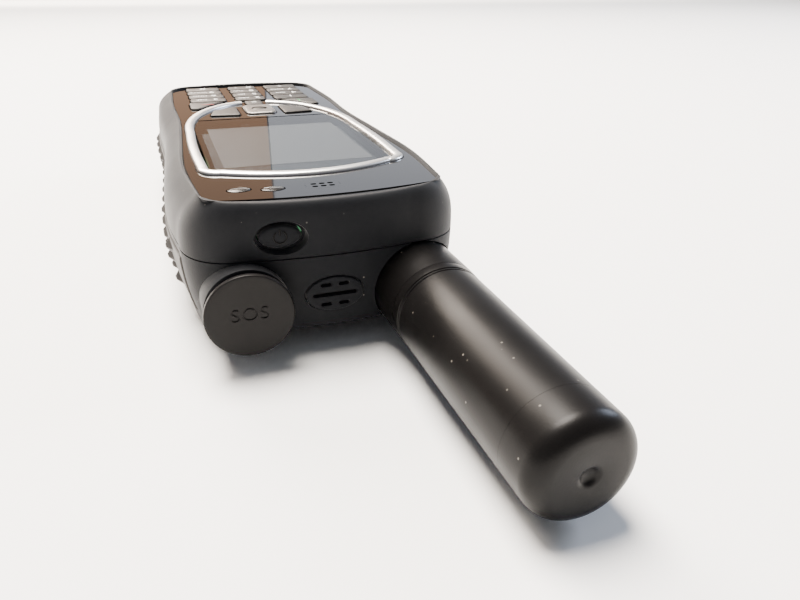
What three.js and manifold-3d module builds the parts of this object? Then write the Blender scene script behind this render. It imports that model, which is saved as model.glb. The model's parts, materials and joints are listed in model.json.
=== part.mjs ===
// Handheld satellite phone, lying on its back with the antenna pulled out.
//
// Row frame, millimetres: +X to the viewer's right when looking from the top end, +Y from the top end
// towards the bottom end, +Z out of the display. The origin is on the flat back, half way along the body.
//
// Most sizes are written in the phone's own frame, the group "phone": x across, d the distance from the
// corners of the top end, z the height above the lower edge of the top end face. Two groups sit inside it:
// "face", whose d and h lie in the gently falling front face, and "antenna", whose Y is the antenna's axis.
import * as THREE from "three";
import { mergeVertices } from "three/addons/utils/BufferGeometryUtils.js";
import Module from "manifold-3d";

// ---------------------------------------------------------------- driving dimensions

const gap = 0.3; // between pieces that touch on the real phone
const slide = 0.27; // radial clearance of what slides

const body = {
  length: 134.6, // between the corners of the two ends
  depth: 27.9, // at the top end face
  backDepth: 5.1, // how far the back swells below the top end face
  backRamp: 16, // distance from the top end over which it swells
  partLine: 15.7, // height of the joint between the two housings
  frontFall: 4.65, // the front face drops this much towards the bottom end
  topBow: 3.8,
  lipBow: 2.6, // how much of that bow is gone at the rim of the top end, which leaves a rounded lip
  endBow: 1.55,
  topCorner: 12.5,
  rimCorner: 6.5, // the corners of the top end at the rim
  endCorner: 11.5,
  cornerPower: 2.3, // superellipse power of the plan corners
  frontRounding: 5.3,
  backRounding: 2.5,
  backEdge: 3.0,
  endRounding: 0.6,
  wall: 2.2,
};
// half width of the body at distances from the top end: shoulders, waist and foot
const waist = [
  [3, 28.8],
  [25, 30.4],
  [49, 29.5],
  [74, 28.4],
  [99, 29.0],
  [123, 28.3],
];

const plate = {
  inset: 5.3,
  top: 1.6, // the edge at its corners; its middle bows towards the top end
  bow: 2.7,
  end: body.length - 3.6,
  corner: 2.2,
  endCorner: 8,
  sunk: 0.7,
  thick: 1.6,
};
const ledge = { width: 3.0, endWidth: 1.7, thick: 1.4 };
const ring = {
  width: 2.2,
  proud: 0.45,
  deep: 0.8,
  half: 21.7,
  near: 19.2, // the near edge at its corners; its middle bows towards the top end
  bow: 5,
  corner: 3.6,
  far: 61.6, // centre of the elliptical far half, which reaches on from here
  reach: 36.8,
};
const ringGap = 4.0; // half the opening in the ring at the menu key
const lens = { end: 75, thick: 1.4, margin: 0.25 };
const lcd = { half: 18.6, near: 22, far: 66, thick: 4 };
const led = { width: 4.4, height: 2.8, places: [[-16.3, 6.5], [-9.9, 5.3]], proud: 0.3, tall: 2.6 };
const earpiece = { d: 5.4, width: 6.4, height: 3.8, receiver: 5.2 };

const key = { proud: 0.6, travel: 0.5, tall: 3.5, round: 0.9 };
const digit = { columns: [-13.1, 0, 13.1], widths: [10.9, 9.3, 10.9], first: 104.7, pitch: 6.9, height: 5.7 };
const pad = { half: 4.3, near: 79.8, far: 92.2, round: 1.6, centre: 2.0 };
const menu = { half: 2.6, near: 93.4, far: 99.9 };

const antenna = {
  x: 18.1,
  z: 5.75,
  lean: 1.7, // degrees away from the body's axis
  radius: 9.53,
  bootStep: 0.15, // how much wider the boot is than the tube
  root: 9.5, // how far the boot reaches into the body
  bootEnd: 12.7,
  tip: 64.6,
  tipRounding: 3.4,
  wall: 1.1,
  stroke: 36,
  barrelWall: 0.85,
  nose: [3, 7], // the barrel's tapered mouth outside the corner
};
const bootRadius = antenna.radius + antenna.bootStep;
const bore = bootRadius + slide;
const barrel = bore + antenna.barrelWall;
const inside = antenna.radius - antenna.wall;
const mast = { flange: bore - 0.35, flangeFrom: 10, flangeTo: 14 };
const element = { radius: inside - 1.83, from: 17, to: 55 };

const sos = {
  x: -17.9,
  z: 7.1,
  capRadius: 8.6,
  face: 8.3, // the cap's outer face in front of the corners of the top end
  disc: 1.1,
  bossFace: 5.3,
};
const bossRadius = sos.capRadius - 0.2;
const sosBore = sos.capRadius - 1.7;
const sosPlug = { radius: sosBore - 0.5, wall: 1.1, deep: 1.7, neck: sosBore + 0.5 };
const sosHinge = { d: -5.9, drop: sos.capRadius + 0.15, pin: 0.5, knuckle: 1.0, tongue: 2.6, ear: 1.9 };
const sosButton = { radius: sosBore - 1.6, front: -2.9, back: 0.4, travel: 0.8 };

const power = {
  x: -10.4,
  z: 20.1,
  width: 8.2,
  height: 4.6,
  recess: 0.85, // the groove round the button
  recessFloor: -1.4,
  sink: 0.6,
  tall: 3.2,
  travel: 0.7,
};
const grille = { x: -0.3, z: 7.2, width: 11.8, height: 7.4, thick: 1.3, proud: 0.2 };
const slots = { long: 9, short: 2.1, high: 0.75, rise: 2.15, shortAt: 1.85 };
const speaker = { width: 13, height: 7.8, thick: 3.6 };

const grip = { to: body.length - 22.6, low: 1.6, high: 14.3, deep: 0.5, proud: 0.35 };
const gripFrom = { left: 7, right: 17 };
const tread = { rows: [4.2, 8.1, 12.0], pitch: 7.4, first: 19, last: grip.to - 4, radius: 2.3, tall: 0.75 };

const side = { z: 20.6, width: 8.4, height: 3.4, proud: 0.45, tall: 3.0 };
const sidePlaces = { volume_up_key: 34, volume_down_key: 45 };

const battery = { half: 21.7, from: 53.3, to: 116.3, thick: 11.6, corner: 3 };
const bay = { clearance: 0.35, roof: 1.6 };
const latch = { half: 6, length: 5, thick: 2.6, stroke: 1.6, from: 120.4 };
const contacts = { x: -6, half: 4.6, height: 2.4, z: 3.6, tall: 2.4 };

const board = { top: 14.4, thick: 1.2, inset: 4.6, from: 13, to: body.length - 8.6 };
const shield = { half: 17, from: 62, to: 108, tall: 2.0 };
const mat = { half: 19.9, from: 77, to: plate.end - 2.1, corner: 6, thick: 1.0 };

const connector = { width: 10.4, height: 4.0, z: 9.4, from: body.length - 8, depth: 7.4 };
const flap = { width: 15, height: 8, thick: 1.4, hinge: 0.45, swing: 0.9 };
const mic = { d: 122, radius: 2.1, tall: 1.4 };

const screw = { head: 2.0, headTall: 1.4, shank: 1.05, length: 17, sunk: 1.6, hole: 0.35, boss: 1.4 };
const screwEnd = body.length - 7.6;
const screwPlaces = [[-21.5, 19], [0.6, 18.6], [-22, screwEnd], [22, screwEnd]];

// ---------------------------------------------------------------- solids and meshes

const wasm = await Module();
wasm.setup();

function solid(geometry) {
  const bare = geometry.clone();
  bare.deleteAttribute("normal");
  bare.deleteAttribute("uv");
  const merged = mergeVertices(bare, 1e-4);
  return new wasm.Manifold(
    new wasm.Mesh({
      numProp: 3,
      vertProperties: merged.attributes.position.array,
      triVerts: new Uint32Array(merged.index.array),
    }),
  );
}

function geometryOf(made) {
  const mesh = made.getMesh();
  const geometry = new THREE.BufferGeometry();
  geometry.setAttribute("position", new THREE.BufferAttribute(mesh.vertProperties, 3));
  geometry.setIndex(new THREE.BufferAttribute(mesh.triVerts, 1));
  geometry.computeVertexNormals();
  return geometry;
}

const finishes = {
  blackRubber: { color: 0x1b1c1f, roughness: 0.75, metalness: 0 },
  gripRubber: { color: 0x222222, roughness: 0.85, metalness: 0 },
  glossBlack: { color: 0x0b0b0d, roughness: 0.08, metalness: 0 },
  satinBlack: { color: 0x1a1919, roughness: 0.42, metalness: 0 },
  silver: { color: 0xc2c3c4, roughness: 0.28, metalness: 1 },
  keyGrey: { color: 0x6d6a6b, roughness: 0.4, metalness: 0.4 },
  clear: { color: 0x9aa3ad, roughness: 0.05, metalness: 0 },
  steel: { color: 0x8d9094, roughness: 0.35, metalness: 1 },
  board: { color: 0x1e5a36, roughness: 0.6, metalness: 0 },
  plainBlack: { color: 0x101114, roughness: 0.6, metalness: 0 },
  gold: { color: 0xc9a24a, roughness: 0.3, metalness: 1 },
};

function piece(group, name, shape, finish) {
  const geometry = shape.isBufferGeometry ? shape : geometryOf(shape);
  const mesh = new THREE.Mesh(geometry, new THREE.MeshStandardMaterial(finishes[finish]));
  mesh.name = name;
  group.add(mesh);
  return mesh;
}

// ---------------------------------------------------------------- frames

const tilt = Math.atan(body.frontFall / body.length);
const phone = new THREE.Group();
phone.position.set(0, -body.length / 2, body.backDepth);

const face = new THREE.Group();
face.position.z = body.depth;
face.rotation.x = -tilt;
face.updateMatrix();
phone.add(face);

const mastGroup = new THREE.Group();
mastGroup.position.set(antenna.x, 0, antenna.z);
mastGroup.rotation.z = THREE.MathUtils.degToRad(antenna.lean);
mastGroup.updateMatrix();
phone.add(mastGroup);

// ---------------------------------------------------------------- outlines

// Smooth curve through [place, value] stations: a cubic between each two, with the slope at a station
// taken from its two neighbours.
function smoothThrough(stations, at) {
  const last = stations.length - 1;
  const place = Math.min(Math.max(at, stations[0][0]), stations[last][0]);
  let i = 0;
  while (i < last - 1 && place > stations[i + 1][0]) i += 1;
  const slope = (k) => {
    const a = stations[Math.max(k - 1, 0)];
    const b = stations[Math.min(k + 1, last)];
    return (b[1] - a[1]) / (b[0] - a[0]);
  };
  const [x0, y0] = stations[i];
  const [x1, y1] = stations[i + 1];
  const span = x1 - x0;
  const t = (place - x0) / span;
  const t2 = t * t;
  const t3 = t2 * t;
  return (
    (2 * t3 - 3 * t2 + 1) * y0 +
    (t3 - 2 * t2 + t) * span * slope(i) +
    (3 * t2 - 2 * t3) * y1 +
    (t3 - t2) * span * slope(i + 1)
  );
}

const range = (from, to, steps) =>
  Array.from({ length: steps + 1 }, (_, i) => from + ((to - from) * i) / steps);
const vectors = (points) => points.map(([x, y]) => new THREE.Vector2(x, y));

// Closed plan outline, counter-clockwise seen from the front: bowed top end, superellipse corners, sides
// that follow the waist at a constant inset, and a bowed bottom end.
function planOutline({ inset, top, end, topBow, endBow, topCorner, endCorner }) {
  const power = 2 / body.cornerPower;
  const half = (d) => smoothThrough(waist, d) - inset;
  const topHalf = half(waist[0][0]);
  const flat = topHalf - topCorner;
  const bowed = (x) => top - topBow * (1 - (x / topHalf) ** 2);
  const start = bowed(flat) + topCorner;
  const stop = end - endCorner;
  const footHalf = half(stop);
  const right = [];
  for (const x of range(0, flat, 5)) right.push([x, bowed(x)]);
  for (const t of range(0, Math.PI / 2, 5).slice(1)) {
    const across = topCorner * Math.sin(t) ** power;
    right.push([flat + across, bowed(flat) + topCorner * (1 - Math.abs(Math.cos(t)) ** power)]);
  }
  const blend = topHalf - half(start);
  for (const d of range(start, stop, 10).slice(1)) {
    right.push([half(d) + blend * Math.exp((start - d) / 8), d]);
  }
  for (const t of range(0, Math.PI / 2, 5).slice(1)) {
    const along = endCorner * Math.sin(t) ** power;
    right.push([footHalf - endCorner + endCorner * Math.abs(Math.cos(t)) ** power, stop + along]);
  }
  const footFlat = footHalf - endCorner;
  for (const x of range(footFlat, 0, 3).slice(1)) right.push([x, end + endBow * (1 - (x / footFlat) ** 2)]);
  const left = right.slice(1, -1).reverse();
  return [...right, ...left.map(([x, d]) => [-x, d])];
}

// Rectangle with round corners, centred on (x, y).
function roundedBox(x, y, width, height, radius) {
  const points = [];
  const corners = [[1, -1, -90], [1, 1, 0], [-1, 1, 90], [-1, -1, 180]];
  for (const [sx, sy, from] of corners) {
    for (const turn of range(from, from + 90, 3)) {
      const a = THREE.MathUtils.degToRad(turn);
      points.push([
        x + sx * (width / 2 - radius) + radius * Math.cos(a),
        y + sy * (height / 2 - radius) + radius * Math.sin(a),
      ]);
    }
  }
  return points;
}

function oval(x, y, width, height, steps = 24) {
  return range(0, 2 * Math.PI, steps)
    .slice(0, -1)
    .map((a) => [x + (width / 2) * Math.cos(a), y + (height / 2) * Math.sin(a)]);
}

// The corners of a polygon, each replaced by a short arc-like bend of three points.
function softened(points, radius) {
  return points.flatMap((corner, i) => {
    const here = new THREE.Vector2(...corner);
    const before = new THREE.Vector2(...points.at(i - 1)).sub(here).setLength(radius).add(here);
    const after = new THREE.Vector2(...points[(i + 1) % points.length]).sub(here).setLength(radius).add(here);
    const middle = here.clone().multiplyScalar(0.5);
    middle.addScaledVector(before, 0.25).addScaledVector(after, 0.25);
    return [before.toArray(), middle.toArray(), after.toArray()];
  });
}

// Each point of a counter-clockwise line moved outwards along its normal.
function movedOut(points, distance, closed = true) {
  return points.map(([x, y], i) => {
    const before = closed ? points.at(i - 1) : points[Math.max(i - 1, 0)];
    const after = closed ? points[(i + 1) % points.length] : points[Math.min(i + 1, points.length - 1)];
    const along = new THREE.Vector2(after[0] - before[0], after[1] - before[1]).normalize();
    return [x + along.y * distance, y - along.x * distance];
  });
}

// ---------------------------------------------------------------- basic solids

// A closed solid through rings of equal point counts, lowest first, counter-clockwise from above.
function loft(rings) {
  const count = rings[0].length;
  const position = rings.flat().flatMap((p) => p.toArray());
  const index = [];
  for (let r = 0; r < rings.length - 1; r += 1) {
    for (let i = 0; i < count; i += 1) {
      const a = r * count + i;
      const b = r * count + ((i + 1) % count);
      index.push(a, b, b + count, a, b + count, a + count);
    }
  }
  const cap = (ring, offset, up) => {
    const contour = ring.map((p) => new THREE.Vector2(p.x, p.y));
    for (const [a, b, c] of THREE.ShapeUtils.triangulateShape(contour, [])) {
      index.push(...(up ? [offset + a, offset + b, offset + c] : [offset + c, offset + b, offset + a]));
    }
  };
  cap(rings[0], 0, false);
  cap(rings.at(-1), (rings.length - 1) * count, true);
  const geometry = new THREE.BufferGeometry();
  geometry.setAttribute("position", new THREE.Float32BufferAttribute(position, 3));
  geometry.setIndex(index);
  return geometry;
}

// An outline in x and y pushed up from one height to another, with optional holes.
function upright(points, low, high, holes = []) {
  const shape = new THREE.Shape(vectors(points));
  for (const hole of holes) shape.holes.push(new THREE.Path(vectors(hole)));
  return new THREE.ExtrudeGeometry(shape, { depth: high - low, bevelEnabled: false }).translate(0, 0, low);
}

// An outline in x and z pushed along the body from distance "from" to distance "to".
function lengthwise(points, from, to, holes = []) {
  return upright(points, 0, to - from, holes)
    .rotateX(Math.PI / 2)
    .translate(0, to, 0);
}

// A cylinder along the body, from distance "from" to distance "to".
function rod(x, z, radius, from, to, sides = 32) {
  return new THREE.CylinderGeometry(radius, radius, to - from, sides).translate(x, (from + to) / 2, z);
}

function post(x, d, radius, low, high, sides = 16) {
  return new THREE.CylinderGeometry(radius, radius, high - low, sides)
    .rotateX(Math.PI / 2)
    .translate(x, d, (low + high) / 2);
}

function block(x0, x1, d0, d1, z0, z1) {
  const box = new THREE.BoxGeometry(x1 - x0, d1 - d0, z1 - z0);
  return box.translate((x0 + x1) / 2, (d0 + d1) / 2, (z0 + z1) / 2);
}

const inPhone = (geometry, group) => geometry.clone().applyMatrix4(group.matrix);
const inFace = (geometry) => inPhone(geometry, face);
const without = (made, ...tools) => tools.reduce((rest, tool) => rest.subtract(solid(tool)), made);

// ---------------------------------------------------------------- body form

const frontLevels = [0, 0.3, 0.55, 0.75, 0.86, 0.93, 0.97, 1];
const backHeights = [0.7, 0.45, 0.2, 0.03].map((share) => share * body.partLine);
const roundedHeights = [0, 0.35, 0.65, 0.87, 1].map((turn) => -body.backDepth + body.backEdge * (1 - turn));

// Outline of the body at a level of the front half, 0 at the joint and 1 at the rim. "grow" moves it out.
function frontRing(level, grow, floor) {
  const ends = body.endRounding * level ** 3 - grow;
  const outline = planOutline({
    inset: body.frontRounding * level ** 3 - grow,
    top: ends,
    end: body.length - ends,
    topBow: body.topBow - body.lipBow * level ** 12,
    endBow: body.endBow,
    topCorner: Math.max(body.topCorner + (body.rimCorner - body.topCorner) * level ** 3 + grow, 1),
    endCorner: Math.max(body.endCorner + grow, 1),
  });
  return outline.map(([x, d]) => {
    const rim = body.depth - body.partLine - (body.frontFall * d) / body.length;
    return new THREE.Vector3(x, d, level === 0 ? floor : body.partLine + rim * level);
  });
}

// The same for the back half at a height, "roof" being its top.
function backRing(z, grow, roof) {
  const level = Math.min(Math.max((body.partLine - z) / body.partLine, 0), 1);
  const turn = Math.min(Math.max((body.backEdge - body.backDepth - z) / body.backEdge, 0), 1);
  const edge = body.backEdge * (1 - Math.sqrt(1 - turn ** 2));
  const ends = body.endRounding * level ** 2 - grow;
  const outline = planOutline({
    inset: body.backRounding * level ** 2.2 + edge - grow,
    top: ends,
    end: body.length - ends - edge,
    topBow: body.topBow,
    endBow: body.endBow,
    topCorner: Math.max(body.topCorner + grow, 1),
    endCorner: Math.max(body.endCorner + grow, 1),
  });
  return outline.map(([x, d]) => new THREE.Vector3(x, d, z >= body.partLine ? roof : z));
}

// What is cut away under the top end, where the back is not yet swollen.
function topEndCut() {
  const { smoothstep } = THREE.MathUtils;
  const ramp = range(1, body.backRamp, 6).map((d) => [-body.backDepth * smoothstep(d, 1, body.backRamp), d]);
  const profile = [[-12, body.backRamp], [-12, -14], [0, -14], ...ramp];
  return upright(profile.reverse(), -40, 40)
    .rotateY(-Math.PI / 2);
}

const frontForm = (grow, floor) => loft(frontLevels.map((level) => frontRing(level, grow, floor)));
const backForm = (grow, roof) =>
  loft([body.partLine, ...backHeights, ...roundedHeights].map((z) => backRing(z, grow, roof)).reverse());

const jointHigh = body.partLine + gap / 2;
const jointLow = body.partLine - gap / 2;
const plateTop = -plate.sunk;
const plateBottom = plateTop - plate.thick;
const back = -body.backDepth;
const screwBottom = back + screw.sunk;
const screwTop = screwBottom + screw.length;
const ledgeTop = plateBottom - gap;
const ledgeBottom = ledgeTop - ledge.thick;

function plateOutline(grow) {
  return planOutline({
    inset: plate.inset - grow,
    top: plate.top - grow,
    end: plate.end + grow,
    topBow: plate.bow,
    endBow: body.endBow,
    topCorner: plate.corner,
    endCorner: plate.endCorner,
  });
}

// The upper cavity: the plan outline inside the walls, up to the underside of the ledge.
function upperCavity(shrink) {
  const outline = planOutline({
    inset: body.wall + 1.6 + shrink,
    top: body.wall + shrink,
    end: body.length - body.wall - shrink,
    topBow: body.topBow,
    endBow: body.endBow,
    topCorner: body.topCorner - body.wall,
    endCorner: body.endCorner - body.wall,
  });
  const under = upright(outline, -body.depth, ledgeBottom - shrink);
  return solid(inFace(under)).intersect(solid(block(-40, 40, -9, body.length + 9, jointLow - 9, body.depth)));
}

// The lower cavity, with its floor above the swollen back.
function lowerCavity() {
  const outline = planOutline({
    inset: body.wall + 1.3,
    top: body.wall,
    end: body.length - body.wall - 0.4,
    topBow: body.topBow,
    endBow: body.endBow,
    topCorner: body.topCorner - body.wall,
    endCorner: body.endCorner - body.wall,
  });
  return upright(outline, body.wall, body.partLine + 1);
}

const boreEnd = mast.flangeTo + antenna.stroke + gap;
const barrelEnd = boreEnd + antenna.barrelWall;

// ---------------------------------------------------------------- ring and key outlines on the face

// Centre line of the silver ring from one side of its opening round to the other, counter-clockwise:
// an elliptical far half, straight sides, round near corners and a bowed near edge.
function ringLine(grow = 0) {
  const across = (d) => ring.half * Math.sqrt(1 - ((d - ring.far) / ring.reach) ** 2);
  const openAt = Math.acos((ringGap - grow) / ring.half);
  const farHalf = range(0, openAt, 12).map((a) => [
    ring.half * Math.cos(a),
    ring.far + ring.reach * Math.sin(a),
  ]);
  const inner = ring.half - ring.corner;
  const nearCorner = range(0, 90, 4).map((turn) => {
    const a = THREE.MathUtils.degToRad(turn - 90);
    return [inner + ring.corner * Math.cos(a), ring.near + ring.corner * (1 + Math.sin(a))];
  });
  const bowed = range(0, inner, 5)
    .slice(0, -1)
    .map((x) => [x, ring.near - ring.bow * (1 - (x / inner) ** 2)]);
  const right = [...bowed, ...nearCorner, [across(ring.far), (ring.near + ring.far) / 2], ...farHalf];
  const left = right.slice(1).reverse();
  return [...left.map(([x, d]) => [-x, d]), ...right];
}

function ringBand(grow) {
  const line = ringLine(grow);
  const outer = movedOut(line, ring.width / 2 + grow, false);
  const inner = movedOut(line, -ring.width / 2 - grow, false);
  return [...outer, ...inner.reverse()];
}

function lensOutline(shrink) {
  const inner = movedOut(ringLine(), -ring.width / 2 - lens.margin - shrink, false);
  const kept = inner.filter(([, d]) => d < lens.end - 6);
  const end = lens.end - shrink;
  const corner = kept.at(-1)[0] - 1.2;
  return [...kept, [corner, end], [-corner, end]];
}

const mirrored = (points) => points.map(([x, d]) => [-x, d]).reverse();
const softRight = [[6.3, 78.6], [14.9, 79.6], [13.4, 86.6], [6.3, 90.6]];
const callOutline = [[8.6, 100.4], [12.6, 96.6], [16.6, 90.9], [19.3, 90.9], [19.3, 100.4]];

function keyOutlines() {
  const outlines = {
    soft_key_left: softened(mirrored(softRight), key.round),
    soft_key_right: softened(softRight, key.round),
    menu_key: roundedBox(0, (menu.near + menu.far) / 2, 2 * menu.half, menu.far - menu.near, key.round),
    end_key: softened(mirrored(callOutline), key.round),
    call_key: softened(callOutline, key.round),
  };
  const names = ["1", "2", "3", "4", "5", "6", "7", "8", "9", "star", "0", "hash"];
  names.forEach((name, i) => {
    // seen from the bottom end the keys read left to right, so +X comes first here
    const column = 2 - (i % 3);
    const d = digit.first + digit.pitch * Math.floor(i / 3);
    const x = digit.columns[column];
    outlines["key_" + name] = roundedBox(x, d, digit.widths[column], digit.height, key.round);
  });
  return outlines;
}

const padMiddle = (pad.near + pad.far) / 2;
const padOutline = (grow) =>
  roundedBox(0, padMiddle, 2 * (pad.half + grow), pad.far - pad.near + 2 * grow, pad.round + grow);
const keyTop = plateTop + key.proud;
const keyBottom = keyTop - key.tall;

// ---------------------------------------------------------------- front housing and what sits in its face

function frontHousing() {
  let made = solid(frontForm(0, jointHigh)).subtract(upperCavity(0));
  const opening = planOutline({
    inset: plate.inset + ledge.width,
    top: plate.top + ledge.width,
    end: plate.end - ledge.endWidth,
    topBow: plate.bow,
    endBow: 0,
    topCorner: 1,
    endCorner: 2,
  });
  const buttonHole = (grow) => oval(power.x, power.z, power.width + 2 * grow, power.height + 2 * grow);
  made = without(
    made,
    inFace(upright(plateOutline(gap), ledgeTop, 4)),
    inFace(upright(opening, ledgeBottom - 4, 4)),
    lengthwise(buttonHole(gap), -9, 3),
    lengthwise(buttonHole(power.recess), -9, power.recessFloor),
  );
  for (const d of Object.values(sidePlaces)) {
    const hole = roundedBox(0, 0, side.width + 2 * gap, side.height + 2 * gap, 1.3);
    const cut = upright(hole, 0, 9).rotateX(Math.PI / 2).rotateZ(Math.PI / 2).translate(24, d, side.z);
    made = without(made, cut);
  }
  for (const [x, d] of screwPlaces) {
    const top = body.depth - Math.tan(tilt) * d + ledgeBottom + 0.5;
    const stem = solid(post(x, d, screw.shank + screw.boss, jointHigh, top));
    made = made.add(stem.intersect(solid(frontForm(-body.wall / 2, jointHigh))));
    // a post away from the walls is tied to the top end by a web
    if (Math.abs(x) < 10) {
      const web = block(x - 0.8, x + 0.8, 0.5 - body.topBow, d, jointHigh, jointHigh + 5);
      made = made.add(solid(web));
    }
    made = without(made, post(x, d, screw.shank + screw.hole, jointHigh - 1, screwTop + gap));
  }
  return made;
}

const ledOutline = (x, d, grow) => oval(x, d, led.width + 2 * grow, led.height + 2 * grow, 16);

function facePlate() {
  const keyHoles = Object.values(keyOutlines()).map((outline) => upright(movedOut(outline, gap), -9, 3));
  const made = solid(upright(plateOutline(0), plateBottom, plateTop));
  const earHole = roundedBox(0, earpiece.d, earpiece.width + 2 * gap, earpiece.height + 2 * gap, 1.5);
  const ledHole = ([x, d]) => upright(ledOutline(x, d, gap), -9, 3);
  const ledHoles = led.places.map(ledHole);
  return without(
    made,
    upright(ringBand(gap), plateTop - ring.deep - gap, 3),
    upright(lensOutline(-gap), -9, 3),
    upright(earHole, -9, 3),
    upright(padOutline(gap), -9, 3),
    ...keyHoles,
    ...ledHoles,
  );
}

function earpieceGrille() {
  const plain = roundedBox(0, earpiece.d, earpiece.width, earpiece.height, 1.2);
  const rows = [-0.8, 0.8];
  const hole = (x, d) => roundedBox(x, earpiece.d + d, 1, 0.7, 0.3);
  const cuts = [-1.5, 0, 1.5].flatMap((x) => rows.map((d) => hole(x, d)));
  return upright(plain, plateBottom, plateTop + 0.1, cuts);
}

piece(phone, "front_housing", frontHousing(), "blackRubber");
piece(face, "face_plate", facePlate(), "glossBlack");
piece(face, "bezel_ring", upright(ringBand(0), plateTop - ring.deep, plateTop + ring.proud), "silver");
piece(face, "display_window", upright(lensOutline(0), plateTop - 0.1 - lens.thick, plateTop - 0.1), "clear");
const lcdTop = plateTop - 0.1 - lens.thick - gap;
const lcdOutline = roundedBox(0, (lcd.near + lcd.far) / 2, 2 * lcd.half, lcd.far - lcd.near, 1);
piece(face, "lcd_module", upright(lcdOutline, lcdTop - lcd.thick, lcdTop), "plainBlack");
led.places.forEach(([x, d], i) => {
  const top = plateTop + led.proud;
  const lens = upright(ledOutline(x, d, 0), top - led.tall, top);
  piece(face, ["led_left", "led_right"][i], lens, "clear");
});
piece(face, "earpiece_grille", earpieceGrille(), "plainBlack");
piece(
  face,
  "earpiece_receiver",
  upright(oval(0, earpiece.d + 1.2, 2 * earpiece.receiver, 8, 24), plateBottom - gap - 3, plateBottom - gap),
  "steel",
);

// ---------------------------------------------------------------- keys and the stack under them

for (const [name, outline] of Object.entries(keyOutlines())) {
  piece(face, name, upright(outline, keyBottom, keyTop), "keyGrey");
}
const centreOutline = (grow) => oval(0, padMiddle, 2 * (pad.centre + grow), 2 * (pad.centre + grow), 16);
piece(face, "d_pad", upright(padOutline(0), keyBottom, keyTop, [centreOutline(gap)]), "silver");
piece(face, "centre_key", upright(centreOutline(0), keyBottom, keyTop), "keyGrey");

const matTop = keyBottom - key.travel - 0.1;
const matOutline = roundedBox(0, (mat.from + mat.to) / 2, 2 * mat.half, mat.to - mat.from, mat.corner);
piece(face, "keypad_mat", upright(matOutline, matTop - mat.thick, matTop), "gripRubber");
const boardTop = matTop - mat.thick - gap;
piece(face, "keypad_board", upright(matOutline, boardTop - 1, boardTop), "board");

for (const [name, d] of Object.entries(sidePlaces)) {
  const outline = roundedBox(0, 0, side.width, side.height, 1.1);
  const outer = smoothThrough(waist, d) + side.proud;
  const shape = upright(outline, -side.tall, 0).rotateX(Math.PI / 2).rotateZ(Math.PI / 2);
  piece(phone, name, shape.translate(outer, d, side.z), "gripRubber");
}

// ---------------------------------------------------------------- rear housing

function gripBox(x, grow) {
  const inner = x < 0 ? -40 : 20;
  const from = x < 0 ? gripFrom.left : gripFrom.right;
  return block(inner, inner + 20, from - grow, grip.to + grow, grip.low - grow, grip.high + grow);
}

function batteryOutline(grow) {
  const middle = (battery.from + battery.to) / 2;
  const long = battery.to - battery.from + 2 * grow;
  return roundedBox(0, middle, 2 * (battery.half + grow), long, battery.corner + grow);
}

const bayTop = back + battery.thick + bay.clearance;
const flapOuter = body.length + body.endBow - 0.35;
const flapLow = connector.z - flap.height / 2;
const beyond = body.length + 5.4; // where cuts through the bottom end stop, clear of it
const latchEnd = latch.from + latch.length + latch.stroke;
const tongueRoom = sosHinge.tongue / 2 + gap;
const knuckleRoom = sosHinge.knuckle + gap;
const hingeZ = sos.z - sosHinge.drop;
const spanAbout = (middle, height) => (grow) => [middle - height / 2 - grow, middle + height / 2 + grow];
const contactSpan = spanAbout(contacts.z, contacts.height);
const connectorSpan = spanAbout(connector.z, connector.height);
const flapSpan = () => [flapLow - flap.swing, flapLow + flap.height + gap];

// A round bar on the cap's hinge axis, its middle at x.
function hingeRod(x, radius, half) {
  return rod(0, 0, radius, -half, half, 16)
    .rotateZ(Math.PI / 2)
    .translate(x, sosHinge.d, hingeZ);
}

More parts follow.
